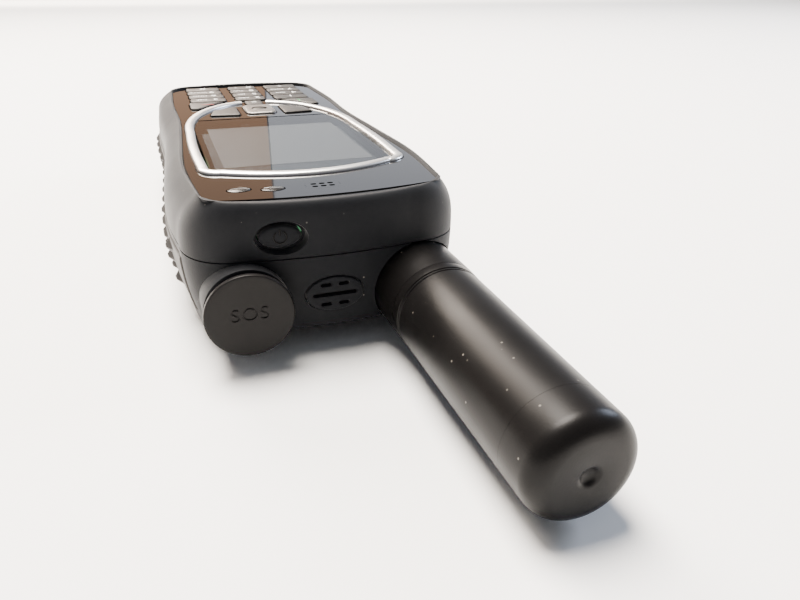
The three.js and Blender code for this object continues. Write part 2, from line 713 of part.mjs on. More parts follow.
function rearHousing() {
  const outer = solid(backForm(0, jointLow)).subtract(solid(topEndCut()));
  let made = without(outer, lowerCavity());
  // a deeper pocket beside the antenna barrel
  made = without(made, block(-24, 4.4, 18, 50, back + body.wall, body.wall + 1));
  // barrel, sounder wall, battery bay and screw posts stand in the cavity
  const room = outer.add(upperCavity(gap));
  const tube = solid(inPhone(rod(0, 0, barrel, -1, barrelEnd, 40), mastGroup));
  made = made.add(tube.intersect(room)).add(barrelOutside());
  const bayBlock = upright(batteryOutline(bay.clearance + bay.roof), back + 0.5, bayTop + bay.roof);
  made = made.add(solid(bayBlock).intersect(outer));
  for (const [x, d] of screwPlaces) {
    made = made.add(solid(post(x, d, screw.head + screw.boss, back + 0.5, jointLow)).intersect(outer));
  }
  made = made.add(solid(rod(sos.x, sos.z, bossRadius, -sos.bossFace, 5.6, 40)));
  for (const x of [-1, 1]) {
    const from = sos.x + x * (sosHinge.tongue / 2 + gap + sosHinge.ear / 2);
    made = made.add(sosEar(from));
  }
  const slotEnd = sosHinge.d + knuckleRoom;
  const slotTop = hingeZ + knuckleRoom;
  const tongueSlot = block(sos.x - tongueRoom, sos.x + tongueRoom, -12, slotEnd, hingeZ - 4, slotTop);
  const mouth = connector.width / 2 + gap;
  const latchHalf = latch.half + gap;
  const latchTop = back + latch.thick + gap;
  const latchSlot = block(-latchHalf, latchHalf, latch.from - gap, latchEnd + gap, back - 1, latchTop);
  made = without(
    made,
    inPhone(rod(0, 0, bore, -9, boreEnd, 40), mastGroup),
    rod(sos.x, sos.z, sosBore, -9, 4.4, 40),
    tongueSlot,
    upright(batteryOutline(bay.clearance), back - 3, bayTop),
    lengthwise(oval(grille.x, grille.z, grille.width + 2 * gap, grille.height + 2 * gap), -9, 0.5),
    block(contacts.x - contacts.half - gap, contacts.x + contacts.half + gap, 49, 54, ...contactSpan(gap)),
    latchSlot,
    block(-mouth, mouth, connector.from - 6.6, beyond, ...connectorSpan(gap)),
    block(-flap.width / 2 - gap, flap.width / 2 + gap, flapOuter - flap.thick - gap, beyond, ...flapSpan()),
    hingeRod(sos.x, sosHinge.pin + 0.15, 12),
  );
  for (const x of [-1, 1]) {
    const cut = solid(gripBox(x, gap)).subtract(solid(backForm(-grip.deep - gap, body.partLine + 5)));
    made = made.subtract(cut);
  }
  for (const [x, d] of screwPlaces) {
    made = without(
      made,
      post(x, d, screw.shank + screw.hole, back - 1, body.partLine + 1),
      post(x, d, screw.head + screw.hole, back - 1, screwBottom + screw.headTall + gap),
    );
  }
  return made;
}

// Where the barrel shows outside the form: under the ramp of the top end and at the corner.
function barrelOutside() {
  const [from, full] = antenna.nose;
  const profile = [[0, from], [bore + 0.3, from], [barrel, full], [barrel, barrelEnd], [0, barrelEnd]];
  const solidTube = solid(inPhone(new THREE.LatheGeometry(vectors(profile), 40), mastGroup));
  return solidTube.intersect(solid(block(-40, 40, -9, barrelEnd + 1, back, jointLow)));
}

// One of the two ears under the boss that hold the cap's pin.
function sosEar(x) {
  const half = sosHinge.ear / 2;
  const knuckle = hingeRod(x, sosHinge.knuckle, half);
  const arm = block(x - half, x + half, sosHinge.d, -sos.bossFace + 1, hingeZ - 0.8, hingeZ + 0.8);
  const root = block(x - half, x + half, -sos.bossFace, -sos.bossFace + 1.6, hingeZ - 0.8, hingeZ + 1.9);
  return solid(knuckle).add(solid(arm)).add(solid(root));
}

piece(phone, "rear_housing", rearHousing(), "blackRubber");

// Rubber side panels with a row of low four-sided studs.
function sideGrip(x) {
  const form = solid(backForm(grip.proud, body.partLine + 5));
  let made = form.subtract(solid(backForm(-grip.deep, body.partLine + 6))).intersect(solid(gripBox(x, 0)));
  for (const z of tread.rows) {
    const level = (body.partLine - z) / body.partLine;
    const count = Math.round((tread.last - tread.first) / tread.pitch);
    for (const d of range(tread.first, tread.last, count)) {
      const out = smoothThrough(waist, d) - body.backRounding * level ** 2.2 + grip.proud;
      const stud = new THREE.ConeGeometry(tread.radius, tread.tall + 0.6, 4).rotateZ((-x * Math.PI) / 2);
      made = made.add(solid(stud.translate(x * (out + (tread.tall - 0.6) / 2), d, z)));
    }
  }
  return made;
}
piece(phone, "grip_left", sideGrip(-1), "gripRubber");
piece(phone, "grip_right", sideGrip(1), "gripRubber");

// ---------------------------------------------------------------- top end face

const bowAt = (x) => -body.topBow * (1 - (x / smoothThrough(waist, 3)) ** 2);
const powerFront = bowAt(power.x) + power.sink;
const powerOutline = oval(power.x, power.z, power.width, power.height);
piece(phone, "power_button", lengthwise(powerOutline, powerFront, powerFront + power.tall), "blackRubber");
const switchFrom = powerFront + power.tall + power.travel + 0.1;
piece(
  phone,
  "power_switch",
  block(power.x - 2, power.x + 2, switchFrom, switchFrom + 2.4, power.z - 1.6, power.z + 1.6),
  "steel",
);

function speakerGrille() {
  const front = bowAt(0) - grille.proud;
  const dash = (x, z, width) => roundedBox(grille.x + x, grille.z + z, width, slots.high, 0.34);
  const cuts = [dash(0, 0, slots.long)];
  for (const z of [-slots.rise, slots.rise]) {
    cuts.push(dash(-slots.shortAt, z, slots.short), dash(slots.shortAt, z, slots.short));
  }
  const outline = oval(grille.x, grille.z, grille.width, grille.height, 32);
  return lengthwise(outline, front, front + grille.thick, cuts);
}
piece(phone, "speaker_grille", speakerGrille(), "blackRubber");
const speakerFrom = bowAt(0) - grille.proud + grille.thick + gap + 1.2;
const speakerOutline = roundedBox(grille.x, grille.z, speaker.width, speaker.height, 3);
const loudspeaker = lengthwise(speakerOutline, speakerFrom, speakerFrom + speaker.thick);
piece(phone, "loudspeaker", loudspeaker, "plainBlack");

// Emergency button: cap with a hollow plug, its tongue and pin, then the button and its switch.
function sosCap() {
  const discBack = -sos.face + sos.disc;
  const plugEnd = -sos.bossFace + sosPlug.deep;
  const profile = [
    [0, -sos.face],
    [sos.capRadius - 0.3, -sos.face],
    [sos.capRadius, -sos.face + 0.3],
    [sos.capRadius, discBack],
    [sosPlug.neck, discBack],
    [sosPlug.neck, -sos.bossFace - gap],
    [sosPlug.radius, -sos.bossFace - gap],
    [sosPlug.radius, plugEnd],
    [sosPlug.radius - sosPlug.wall, plugEnd],
    [sosPlug.radius - sosPlug.wall, discBack],
    [0, discBack],
  ];
  const lathe = new THREE.LatheGeometry(vectors(profile), 40).translate(sos.x, 0, sos.z);
  const half = sosHinge.tongue / 2;
  const front = -sos.face + 0.2;
  const tongue = block(sos.x - half, sos.x + half, front, discBack, hingeZ, sos.z - sos.capRadius + 1);
  const low = hingeZ - sosHinge.knuckle;
  const web = block(sos.x - half, sos.x + half, front, sosHinge.d, low, hingeZ + 0.6);
  const knuckle = hingeRod(sos.x, sosHinge.knuckle, half);
  const joined = solid(lathe).add(solid(tongue)).add(solid(web)).add(solid(knuckle));
  return joined.subtract(solid(hingeRod(sos.x, sosHinge.pin + 0.15, 9)));
}
piece(phone, "sos_cap", sosCap(), "satinBlack");
const pinHalf = sosHinge.tongue / 2 + gap + sosHinge.ear;
piece(phone, "sos_hinge_pin", hingeRod(sos.x, sosHinge.pin, pinHalf), "steel");
const buttonRod = rod(sos.x, sos.z, sosButton.radius, sosButton.front, sosButton.back, 32);
piece(phone, "sos_button", buttonRod, "gripRubber");
const sosSwitchFrom = sosButton.back + sosButton.travel + 0.1;
piece(phone, "sos_switch", block(sos.x - 3, sos.x + 3, sosSwitchFrom, 4.1, sos.z - 3, sos.z + 3), "steel");

// ---------------------------------------------------------------- antenna, turned about its own axis

const lathed = (profile, sides = 40) => new THREE.LatheGeometry(vectors(profile), sides);
const tipSeat = antenna.tip - 9;

piece(
  mastGroup,
  "antenna_boot",
  lathed([
    [inside, -antenna.bootEnd],
    [bootRadius - 0.25, -antenna.bootEnd],
    [bootRadius, -antenna.bootEnd + 0.3],
    [bootRadius, antenna.root],
    [inside, antenna.root],
    [inside, -antenna.bootEnd],
  ]),
  "satinBlack",
);
piece(
  mastGroup,
  "antenna_tube",
  lathed([
    [inside, -tipSeat],
    [antenna.radius, -tipSeat],
    [antenna.radius, -antenna.bootEnd - gap],
    [inside, -antenna.bootEnd - gap],
    [inside, -tipSeat],
  ]),
  "satinBlack",
);
const round = range(0, 90, 5).map((turn) => {
  const a = THREE.MathUtils.degToRad(turn);
  const flat = antenna.radius - antenna.tipRounding;
  return [flat + antenna.tipRounding * Math.sin(a), -antenna.tip + antenna.tipRounding * (1 - Math.cos(a))];
});
piece(
  mastGroup,
  "antenna_tip",
  lathed([
    [0, -antenna.tip + 0.7],
    [1.4, -antenna.tip + 0.7],
    [1.5, -antenna.tip],
    ...round,
    [antenna.radius, -tipSeat - gap],
    [0, -tipSeat - gap],
  ]),
  "satinBlack",
);
piece(
  mastGroup,
  "antenna_mast",
  lathed([
    [0, -antenna.bootEnd + 1],
    [inside - gap, -antenna.bootEnd + 1],
    [inside - gap, mast.flangeFrom],
    [mast.flange, mast.flangeFrom],
    [mast.flange, mast.flangeTo],
    [0, mast.flangeTo],
  ]),
  "plainBlack",
);
piece(
  mastGroup,
  "antenna_element",
  new THREE.CylinderGeometry(element.radius, element.radius, element.to - element.from, 24).translate(
    0,
    -(element.from + element.to) / 2,
    0,
  ),
  "gold",
);

// ---------------------------------------------------------------- boards, battery, bottom end

function mainBoard() {
  const half = smoothThrough(waist, 74) - board.inset - body.wall;
  const notch = antenna.x - barrel - 1;
  const outline = softened(
    [
      [-half, board.from],
      [notch, board.from],
      [notch, barrelEnd + 1],
      [half, barrelEnd + 1],
      [half, board.to],
      [-half, board.to],
    ],
    2,
  );
  let made = solid(upright(outline, board.top - board.thick, board.top));
  for (const [x, d] of screwPlaces) made = without(made, post(x, d, screw.head + screw.boss + gap, 0, 30));
  return made;
}
piece(phone, "main_board", mainBoard(), "board");
const shieldTop = board.top - board.thick - 0.15;
const shieldLow = shieldTop - shield.tall;
const shieldBox = block(-shield.half, shield.half, shield.from, shield.to, shieldLow, shieldTop);
piece(phone, "lower_shield", shieldBox, "steel");
const micLow = board.top + 0.15;
piece(phone, "microphone", post(0, mic.d, mic.radius, micLow, micLow + mic.tall), "steel");

piece(phone, "battery_pack", upright(batteryOutline(0), back, back + battery.thick), "blackRubber");
const contactFront = battery.from - gap;
const contactLeft = contacts.x - contacts.half;
const contactRight = contacts.x + contacts.half;
piece(
  phone,
  "battery_contacts",
  block(contactLeft, contactRight, contactFront - contacts.tall, contactFront, ...contactSpan(0)),
  "gold",
);
piece(
  phone,
  "battery_latch",
  block(-latch.half, latch.half, latch.from, latch.from + latch.length, back + 0.2, back + latch.thick),
  "gripRubber",
);

const shell = { half: connector.width / 2, wall: 0.8, open: connector.from + 3 };
const shellEnd = connector.from + connector.depth;
const shellOuter = block(-shell.half, shell.half, connector.from, shellEnd, ...connectorSpan(0));
const mouthHalf = shell.half - shell.wall;
const shellInner = block(-mouthHalf, mouthHalf, shell.open, beyond, ...connectorSpan(-shell.wall));
piece(phone, "data_connector", solid(shellOuter).subtract(solid(shellInner)), "steel");
piece(
  phone,
  "connector_cover",
  lengthwise(
    roundedBox(0, connector.z, flap.width, flap.height, 0.8),
    flapOuter - flap.thick,
    flapOuter,
  ),
  "gripRubber",
);

screwPlaces.forEach(([x, d], i) => {
  const head = solid(post(x, d, screw.head, screwBottom, screwBottom + screw.headTall));
  const shank = solid(post(x, d, screw.shank, screwBottom + 0.5, screwTop));
  const drive = post(x, d, 0.9, screwBottom - 1, screwBottom + 0.7, 6);
  piece(phone, "screw_" + (i + 1), head.add(shank).subtract(solid(drive)), "steel");
});

const part = new THREE.Group();
part.name = "satellite_phone";
part.add(phone);
export default part;
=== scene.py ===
# %% [markdown]
# # Handheld satellite phone
#
# The phone lies on its back with its antenna pulled out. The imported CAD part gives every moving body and
# the inner pieces. The outer pieces are drawn again here at a finer grain: shells with soft shoulders, a
# rounded silver ring, domed keys with printed legends, a turned antenna and an engraved emergency cap.
#
# Sizes are in millimetres in the phone's own frame, as in the CAD part: x across, d the distance from the
# corners of the top end, z the height above the lower edge of the top end face.
#
# Its nodes arrive as finished meshes on their bodies, so a finer piece only has to name the node it stands
# for and the body it moves with. Nothing is placed by eye.

import json
import math

import bpy
import numpy as np
from mathutils import Matrix, Vector

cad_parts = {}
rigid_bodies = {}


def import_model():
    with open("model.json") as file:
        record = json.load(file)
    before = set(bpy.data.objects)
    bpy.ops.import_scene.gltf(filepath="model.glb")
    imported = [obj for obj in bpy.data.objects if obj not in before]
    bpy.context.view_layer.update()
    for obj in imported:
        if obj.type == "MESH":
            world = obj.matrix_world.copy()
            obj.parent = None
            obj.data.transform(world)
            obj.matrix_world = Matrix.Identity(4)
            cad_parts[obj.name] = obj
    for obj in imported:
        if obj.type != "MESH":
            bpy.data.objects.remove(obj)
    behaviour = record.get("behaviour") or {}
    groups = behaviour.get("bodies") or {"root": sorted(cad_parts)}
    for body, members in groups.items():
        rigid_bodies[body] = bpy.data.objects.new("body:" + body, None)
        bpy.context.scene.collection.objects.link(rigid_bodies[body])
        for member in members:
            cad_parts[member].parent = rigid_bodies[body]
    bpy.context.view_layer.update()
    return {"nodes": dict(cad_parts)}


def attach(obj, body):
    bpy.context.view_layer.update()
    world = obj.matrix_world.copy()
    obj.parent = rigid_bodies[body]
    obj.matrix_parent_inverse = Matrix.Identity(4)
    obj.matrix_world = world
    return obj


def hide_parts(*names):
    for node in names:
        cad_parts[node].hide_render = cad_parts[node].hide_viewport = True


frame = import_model()

# %% [markdown]
# ## Dimensions
# The same driving sizes as the CAD part, so every finer piece lands on the piece it stands for. The real
# body is two moulded shells that meet on a level line 15.7 mm up. Its front falls 4.65 mm towards the bottom
# end, and its sides have a waist that a hand fits round. A box with rounded edges can't do that, so the body
# is kept as an outline that changes with height, and the waist as a few stations along the length.

# %% Dimensions
GAP = 0.3  # clearance round the face plate
LENGTH, DEPTH, BACK = 134.6, 27.9, 5.1  # between the end corners, at the top end, and of the back below z = 0
PART_LINE, FALL = 15.7, 4.65
SEAM = 0.15  # half the groove between the two shells
WALL = 2.2
TILT = math.atan(FALL / LENGTH)
POWER = 2 / 2.3  # superellipse exponent of the plan corners
TOP_BOW, LIP_BOW, END_BOW, TOP_CORNER, END_CORNER = 3.8, 2.6, 1.55, 12.5, 11.5
FRONT_ROUND, BACK_ROUND, BACK_EDGE, END_ROUND = 5.3, 2.5, 3.0, 0.6
WAIST_AT = np.array([3.0, 25, 49, 74, 99, 123])
WAIST = np.array([28.8, 30.4, 29.5, 28.4, 29.0, 28.3])
PLATE_TOP = -0.7  # heights on the front face are from the plane of the shell's rim
KEY_TOP, KEY_TALL = -0.1, 3.5
ANTENNA_X, ANTENNA_Z, LEAN = 18.1, 5.75, math.radians(1.7)
SOS_X, SOS_Z = -17.9, 7.1
POWER_X, POWER_Z = -10.4, 20.1
print("body:", 2 * WAIST.max(), "x", LENGTH + TOP_BOW + END_BOW, "x", DEPTH + BACK, "mm")

# %% [markdown]
# ## Frames
# Three frames are used: the phone's, the falling front face's and the leaning antenna's. Objects could be
# turned and moved instead, but a finished piece has its place in its mesh, so the turn is done on the points.
# Each function takes an array of points in millimetres and returns metres in the part's own frame.


# %% Frames
def in_phone(points):
    """Part frame of phone points: half the length is taken from d, and the depth of the back is added to z."""
    p = np.asarray(points, float)
    return (p + np.array([0, -LENGTH / 2, BACK])) / 1000


def in_face(points):
    """Part frame of points (x, s, h) on the front face: a turn about X by the face's fall, then a lift."""
    x, s, h = np.asarray(points, float).T
    c, n = math.cos(TILT), math.sin(TILT)
    return in_phone(np.column_stack([x, s * c + h * n, DEPTH - s * n + h * c]))


def in_antenna(points):
    """Part frame of points about the antenna's axis: a turn about Z by its lean, then a shift to its root."""
    x, y, z = np.asarray(points, float).T
    c, n = math.cos(LEAN), math.sin(LEAN)
    return in_phone(np.column_stack([x * c - y * n + ANTENNA_X, x * n + y * c, z + ANTENNA_Z]))


# %% [markdown]
# ## Meshes
# Nearly every piece is a stack of rings with equal point counts: a shell, a key, a turned antenna. A ring is a
# row of an array, so a whole surface is one array, and stitching neighbours gives quads without a loop over
# points. Spin and Bevel modifiers could make some of them, but the arrays keep every edge radius a plain number.


# %% Meshes
def mesh_object(name, points, faces, sharp=35):
    """Object from part-frame points and faces, smooth except where faces meet at more than the sharp angle."""
    name = name.replace(" ", "_")
    mesh = bpy.data.meshes.new(name)
    mesh.from_pydata(np.asarray(points, float).tolist(), [], faces)
    mesh.update()
    obj = bpy.data.objects.new(name, mesh)
    bpy.context.scene.collection.objects.link(obj)
    smooth(obj, sharp)
    return obj


def smooth(obj, sharp=35):
    """Smooth shading, with hard edges only where faces meet at more than an angle in degrees."""
    obj.data.shade_smooth()
    obj.data.set_sharp_from_angle(angle=math.radians(sharp))


def band_faces(rows, columns, around=False, first=0):
    """Quads between successive rings of points, also between the last ring and the first when asked."""
    r = np.arange(rows if around else rows - 1)[:, None]
    c = np.arange(columns)[None, :]
    low, high = r * columns, ((r + 1) % rows) * columns
    turn = (c + 1) % columns
    quads = np.stack([low + c, low + turn, high + turn, high + c], -1).reshape(-1, 4)
    return (quads + first).tolist()


def loft(name, rings, to_row, closed=False, sharp=35):
    """Solid through rings, lowest first and counter-clockwise from above; closed joins last to first."""
    rings = np.asarray(rings, float)
    rows, columns, _ = rings.shape
    faces = band_faces(rows, columns, closed)
    if not closed:
        faces.append(list(range(columns))[::-1])
        faces.append(list(range((rows - 1) * columns, rows * columns)))
    return mesh_object(name, to_row(rings.reshape(-1, 3)), faces, sharp)


def turned(name, profile, to_row, sides=128, sharp=35, shift=(0, 0)):
    """Solid of revolution about Y from (radius, y) pairs that go from -Y to +Y on the outside."""
    profile = np.asarray(profile, float)
    a = np.linspace(0, 2 * np.pi, sides, endpoint=False)
    ring = np.stack([np.cos(a), np.zeros(sides), -np.sin(a)], -1)
    rings = profile[:, 0, None, None] * ring[None] + np.array([0, 1, 0]) * profile[:, 1, None, None]
    rings = rings + np.array([shift[0], 0, shift[1]])
    faces = band_faces(len(profile), sides)
    faces.append(list(range(sides))[::-1])
    faces.append(list(range((len(profile) - 1) * sides, len(profile) * sides)))
    return mesh_object(name, to_row(rings.reshape(-1, 3)), faces, sharp)


def shrunk(outline, distance):
    """Outline moved inwards along its own normals."""
    ahead, behind = np.roll(outline, -1, 0), np.roll(outline, 1, 0)
    along = ahead - behind
    along /= np.linalg.norm(along, axis=1, keepdims=True) + 1e-12
    return outline + distance * np.stack([-along[:, 1], along[:, 0]], -1)


def levelled(outline, height):
    """Ring of an outline at one height."""
    return np.column_stack([outline, np.full(len(outline), float(height))])


def pillow(name, outline, low, high, radius, to_row, dome=0.0, sharp=40):
    """Prism with a rounded upper edge: the outline shrinks along a quarter circle, then rises to a low dome."""
    rings = [levelled(outline, low)]
    shoulder = high - dome - radius
    for a in np.linspace(0, np.pi / 2, 7):
        rings.append(levelled(shrunk(outline, radius * (1 - math.cos(a))), shoulder + radius * math.sin(a)))
    top = rings[-1][:, :2]
    middle = top.mean(0)
    for share in (0.75, 0.5, 0.25, 0.05):
        rings.append(levelled(middle + (top - middle) * share, high - dome * share**2))
    return loft(name, rings, to_row, sharp=sharp)


def prism(name, outline, low, high, to_row):
    """Straight-sided solid between two heights."""
    return loft(name, [levelled(outline, low), levelled(outline, high)], to_row)


def result_of(obj):
    """New mesh of an object as its modifiers or its font leave it."""
    bpy.context.view_layer.update()
    return bpy.data.meshes.new_from_object(obj.evaluated_get(bpy.context.evaluated_depsgraph_get()))


def carve(obj, cutters, operation="DIFFERENCE", sharp=35):
    """Takes each cutter out of the object, or joins it, and keeps the result as its mesh."""
    for cutter in cutters:
        step = obj.modifiers.new(cutter.name, "BOOLEAN")
        step.object, step.operation, step.solver = cutter, operation, "EXACT"
    made = result_of(obj)
    obj.modifiers.clear()
    obj.data = made
    for cutter in cutters:
        bpy.data.objects.remove(cutter)
    smooth(obj, sharp)
    return obj


# %% [markdown]
# ## Outlines
# Seen from above, the body has a bowed end, soft corners and waisted sides. One outline function serves both
# shells, the face plate and the pocket it lies in, so that their gaps stay even. The corners are
# superellipses: a plain arc would show where it meets the straight side, and these swing in softly.


# %% Outlines
def half_width(d):
    """Half width of the body: a cubic between stations, each slope taken from the two neighbours."""
    d = np.clip(d, WAIST_AT[0], WAIST_AT[-1])
    low = np.maximum(np.arange(6) - 1, 0)
    high = np.minimum(np.arange(6) + 1, 5)
    slope = (WAIST[high] - WAIST[low]) / (WAIST_AT[high] - WAIST_AT[low])
    i = np.clip(np.searchsorted(WAIST_AT, d, side="right") - 1, 0, 4)
    span = WAIST_AT[i + 1] - WAIST_AT[i]
    t = (d - WAIST_AT[i]) / span
    return (
        (2 * t**3 - 3 * t**2 + 1) * WAIST[i]
        + (t**3 - 2 * t**2 + t) * span * slope[i]
        + (3 * t**2 - 2 * t**3) * WAIST[i + 1]
        + (t**3 - t**2) * span * slope[i + 1]
    )


def plan(inset, top, end, top_bow, end_bow, top_corner, end_corner):
    """Closed outline, counter-clockwise from above: bowed end, superellipse corners, waisted sides."""
    top_half = half_width(WAIST_AT[0]) - inset
    flat = top_half - top_corner
    x = np.linspace(0, flat, 19)
    near = np.column_stack([x, top - top_bow * (1 - (x / top_half) ** 2)])
    ear = near[-1, 1]
    start, stop = ear + top_corner, end - end_corner
    foot = half_width(stop) - inset
    quarter = np.linspace(0, np.pi / 2, 17)
    rise = 1 - np.abs(np.cos(quarter)) ** POWER
    corner = np.column_stack([flat + top_corner * np.sin(quarter) ** POWER, ear + top_corner * rise])[1:]
    d = np.linspace(start, stop, 61)[1:]
    blend = (top_half - half_width(start) + inset) * np.exp((start - d) / 8)
    flank = np.column_stack([half_width(d) - inset + blend, d])
    foot_flat = foot - end_corner
    out, on = np.abs(np.cos(quarter)) ** POWER, np.sin(quarter) ** POWER
    far = np.column_stack([foot_flat + end_corner * out, stop + end_corner * on])[1:]
    x = np.linspace(foot_flat, 0, 11)[1:]
    last = np.column_stack([x, end + end_bow * (1 - (x / foot_flat) ** 2)])
    right = np.vstack([near, corner, flank, far, last])
    return np.vstack([right, right[1:-1][::-1] * [-1, 1]])


def plate_outline(grow):
    """Outline of the face plate, moved outwards by grow."""
    return plan(5.3 - grow, 1.6 - grow, 131 + grow, 2.7, END_BOW, 2.2 + grow, 8 + grow)


def round_rect(x, y, width, height, radius, steps=9):
    """Rectangle about (x, y) whose corners are quarter circles."""
    points = []
    for sx, sy, start in ((1, -1, -90), (1, 1, 0), (-1, 1, 90), (-1, -1, 180)):
        a = np.radians(np.linspace(start, start + 90, steps))
        across = x + sx * (width / 2 - radius) + radius * np.cos(a)
        along = y + sy * (height / 2 - radius) + radius * np.sin(a)
        points.append(np.column_stack([across, along]))
    return np.vstack(points)


def oval(x, y, width, height, steps=64):
    """Ellipse about (x, y)."""
    a = np.linspace(0, 2 * np.pi, steps, endpoint=False)
    return np.column_stack([x + width / 2 * np.cos(a), y + height / 2 * np.sin(a)])


def softened(corners, radius, steps=7):
    """Polygon whose corners are replaced by quadratic bends that start a radius away from each."""
    corners = np.asarray(corners, float)
    t = np.linspace(0, 1, steps)[:, None]
    points = []
    for here, before, after in zip(corners, np.roll(corners, 1, 0), np.roll(corners, -1, 0)):
        a = here + (before - here) / np.linalg.norm(before - here) * radius
        b = here + (after - here) / np.linalg.norm(after - here) * radius
        points.append((1 - t) ** 2 * a + 2 * t * (1 - t) * here + t**2 * b)
    return np.vstack(points)


def mirrored(corners):
    """The same corners on the other side of the phone, in the order that keeps the outline's turn."""
    return [(-x, d) for x, d in corners][::-1]


def along_d(points):
    """Part frame of a solid built upright, in (x, z), and pushed from the top end along d instead."""
    x, z, depth = np.asarray(points, float).T
    return in_phone(np.column_stack([x, -depth, z]))


def across_x(points):
    """Part frame of a solid built upright, in (d, z), and pushed across the phone instead."""
    d, z, x = np.asarray(points, float).T
    return in_phone(np.column_stack([x, d, z]))


# %% [markdown]
# ## Finishes
# One node tree serves every opaque finish: a base colour mottled by noise, a roughness that the same noise
# moves, and a bump of a finer grain. Object coordinates are metres, so a pattern g millimetres across has a
# noise scale of 1000 / g. The mottling is about 11 mm wide, as handling leaves it. The grain of a moulded
# surface is near 0.1 mm and too fine to show here, so it is drawn at 0.3 to 0.5 mm. Dust is a Voronoi
# pattern with one cell each 1.5 mm, of which only a few carry a speck.


# %% Finishes
def linear(code):
    """Linear colour of an sRGB hex code."""
    srgb = np.array([int(code[i : i + 2], 16) for i in (1, 3, 5)]) / 255
    out = np.where(srgb <= 0.04045, srgb / 12.92, ((srgb + 0.055) / 1.055) ** 2.4)
    return (*[float(v) for v in out], 1.0)


def add(tree, kind, links=(), **values):
    """Adds a node, sets the inputs named in values and links the inputs named in links."""
    node = tree.nodes.new(kind)
    for key, value in values.items():
        socket = node.inputs.get(key.replace("_", " "))
        if socket is None:
            setattr(node, key, value)
        else:
            socket.default_value = value
    for key, source in links:
        tree.links.new(source, node.inputs[key])
    return node


MOTTLE_SCALE = 90.0  # one wave each 11 mm
SPECK_SCALE = 650.0  # one cell each 1.5 mm
SPECK_EDGE, SPECK_CORE = 0.16, 0.06  # share of a cell at which a speck ends and at which it is full
SPECK_RARE = (0.80, 0.86)  # a cell whose random value is above this carries a speck
DUST_COLOUR = "#8f8a82"


def blank_material(name):
    """Material with an empty node tree."""
    material = bpy.data.materials.new(name)
    material.use_nodes = True
    material.node_tree.nodes.clear()
    return material, material.node_tree


def end_tree(tree, shader):
    """Links a shader to the material's output."""
    ending = add(tree, "ShaderNodeOutputMaterial")
    tree.links.new(shader.outputs[0], ending.inputs["Surface"])


def speckled(tree, place, colour, dust):
    """Colour with dust laid on it: small discs of a Voronoi pattern, in the few cells a random value picks."""
    cells = add(tree, "ShaderNodeTexVoronoi", [("Vector", place)], Scale=SPECK_SCALE)
    disc = add(tree, "ShaderNodeMapRange", [("Value", cells.outputs["Distance"])])
    disc.inputs["From Min"].default_value, disc.inputs["From Max"].default_value = SPECK_EDGE, SPECK_CORE
    few = add(tree, "ShaderNodeMapRange", [("Value", cells.outputs["Color"])])
    few.inputs["From Min"].default_value, few.inputs["From Max"].default_value = SPECK_RARE
    pick = add(tree, "ShaderNodeMath", [(0, disc.outputs[0]), (1, few.outputs[0])], operation="MULTIPLY")
    amount = add(tree, "ShaderNodeMath", [(0, pick.outputs[0])], operation="MULTIPLY")
    amount.inputs[1].default_value = dust
    dusty = add(tree, "ShaderNodeMix", [("Factor", amount.outputs[0])], data_type="RGBA")
    tree.links.new(colour, dusty.inputs[6])
    dusty.inputs[7].default_value = linear(DUST_COLOUR)
    return dusty.outputs[2]


def finish(name, code, rough, metal=0.0, grain=0.0, bump=0.0, mottle=0.25, sheen=0.0, dust=0.0, spec=0.5):
    """Principled finish: mottle is the share the colour and roughness vary, bump a depth in millimetres."""
    material, tree = blank_material(name)
    place = add(tree, "ShaderNodeTexCoord").outputs["Object"]
    shade = add(tree, "ShaderNodeBsdfPrincipled", Metallic=metal, Sheen_Weight=sheen)
    shade.inputs["Specular IOR Level"].default_value = spec
    broad = add(tree, "ShaderNodeTexNoise", [("Vector", place)], Scale=MOTTLE_SCALE, Detail=4.0)
    base = linear(code)
    light = tuple(min(1.0, v * (1 + mottle)) for v in base[:3]) + (1.0,)
    dark = tuple(v * (1 - mottle) for v in base[:3]) + (1.0,)
    colour = add(tree, "ShaderNodeMix", [("Factor", broad.outputs["Fac"])], data_type="RGBA")
    colour.inputs[6].default_value, colour.inputs[7].default_value = dark, light
    seen = speckled(tree, place, colour.outputs[2], dust) if dust else colour.outputs[2]
    tree.links.new(seen, shade.inputs["Base Color"])
    spread = add(tree, "ShaderNodeMapRange", [("Value", broad.outputs["Fac"])], From_Min=0.3, From_Max=0.7)
    spread.inputs["To Min"].default_value = rough * (1 - 0.5 * mottle)
    spread.inputs["To Max"].default_value = min(1.0, rough * (1 + 0.5 * mottle))
    tree.links.new(spread.outputs[0], shade.inputs["Roughness"])
    if bump:
        fine = add(tree, "ShaderNodeTexNoise", [("Vector", place)], Scale=1000 / grain, Detail=2.0)
        bumped = add(tree, "ShaderNodeBump", [("Height", fine.outputs["Fac"])], Strength=1.0, Distance=bump / 1000)
        tree.links.new(bumped.outputs[0], shade.inputs["Normal"])
    end_tree(tree, shade)
    return material


def clear_glass(name, tint):
    """Thin clear window: transparent, with a mirror-like skin on its outside that strengthens towards grazing."""
    material, tree = blank_material(name)
    side = add(tree, "ShaderNodeNewGeometry").outputs["Backfacing"]
    front = add(tree, "ShaderNodeMath", [(1, side)], operation="SUBTRACT")
    front.inputs[0].default_value = 1.0
    mirror = add(tree, "ShaderNodeFresnel", IOR=1.5).outputs[0]
    facing = add(tree, "ShaderNodeMath", [(0, mirror), (1, front.outputs[0])], operation="MULTIPLY")
    see = add(tree, "ShaderNodeBsdfTransparent")
    see.inputs[0].default_value = linear(tint)
    skin = add(tree, "ShaderNodeBsdfGlossy", Roughness=0.02)
    mix = add(tree, "ShaderNodeMixShader", [(0, facing.outputs[0]), (1, see.outputs[0]), (2, skin.outputs[0])])
    end_tree(tree, mix)
    return material


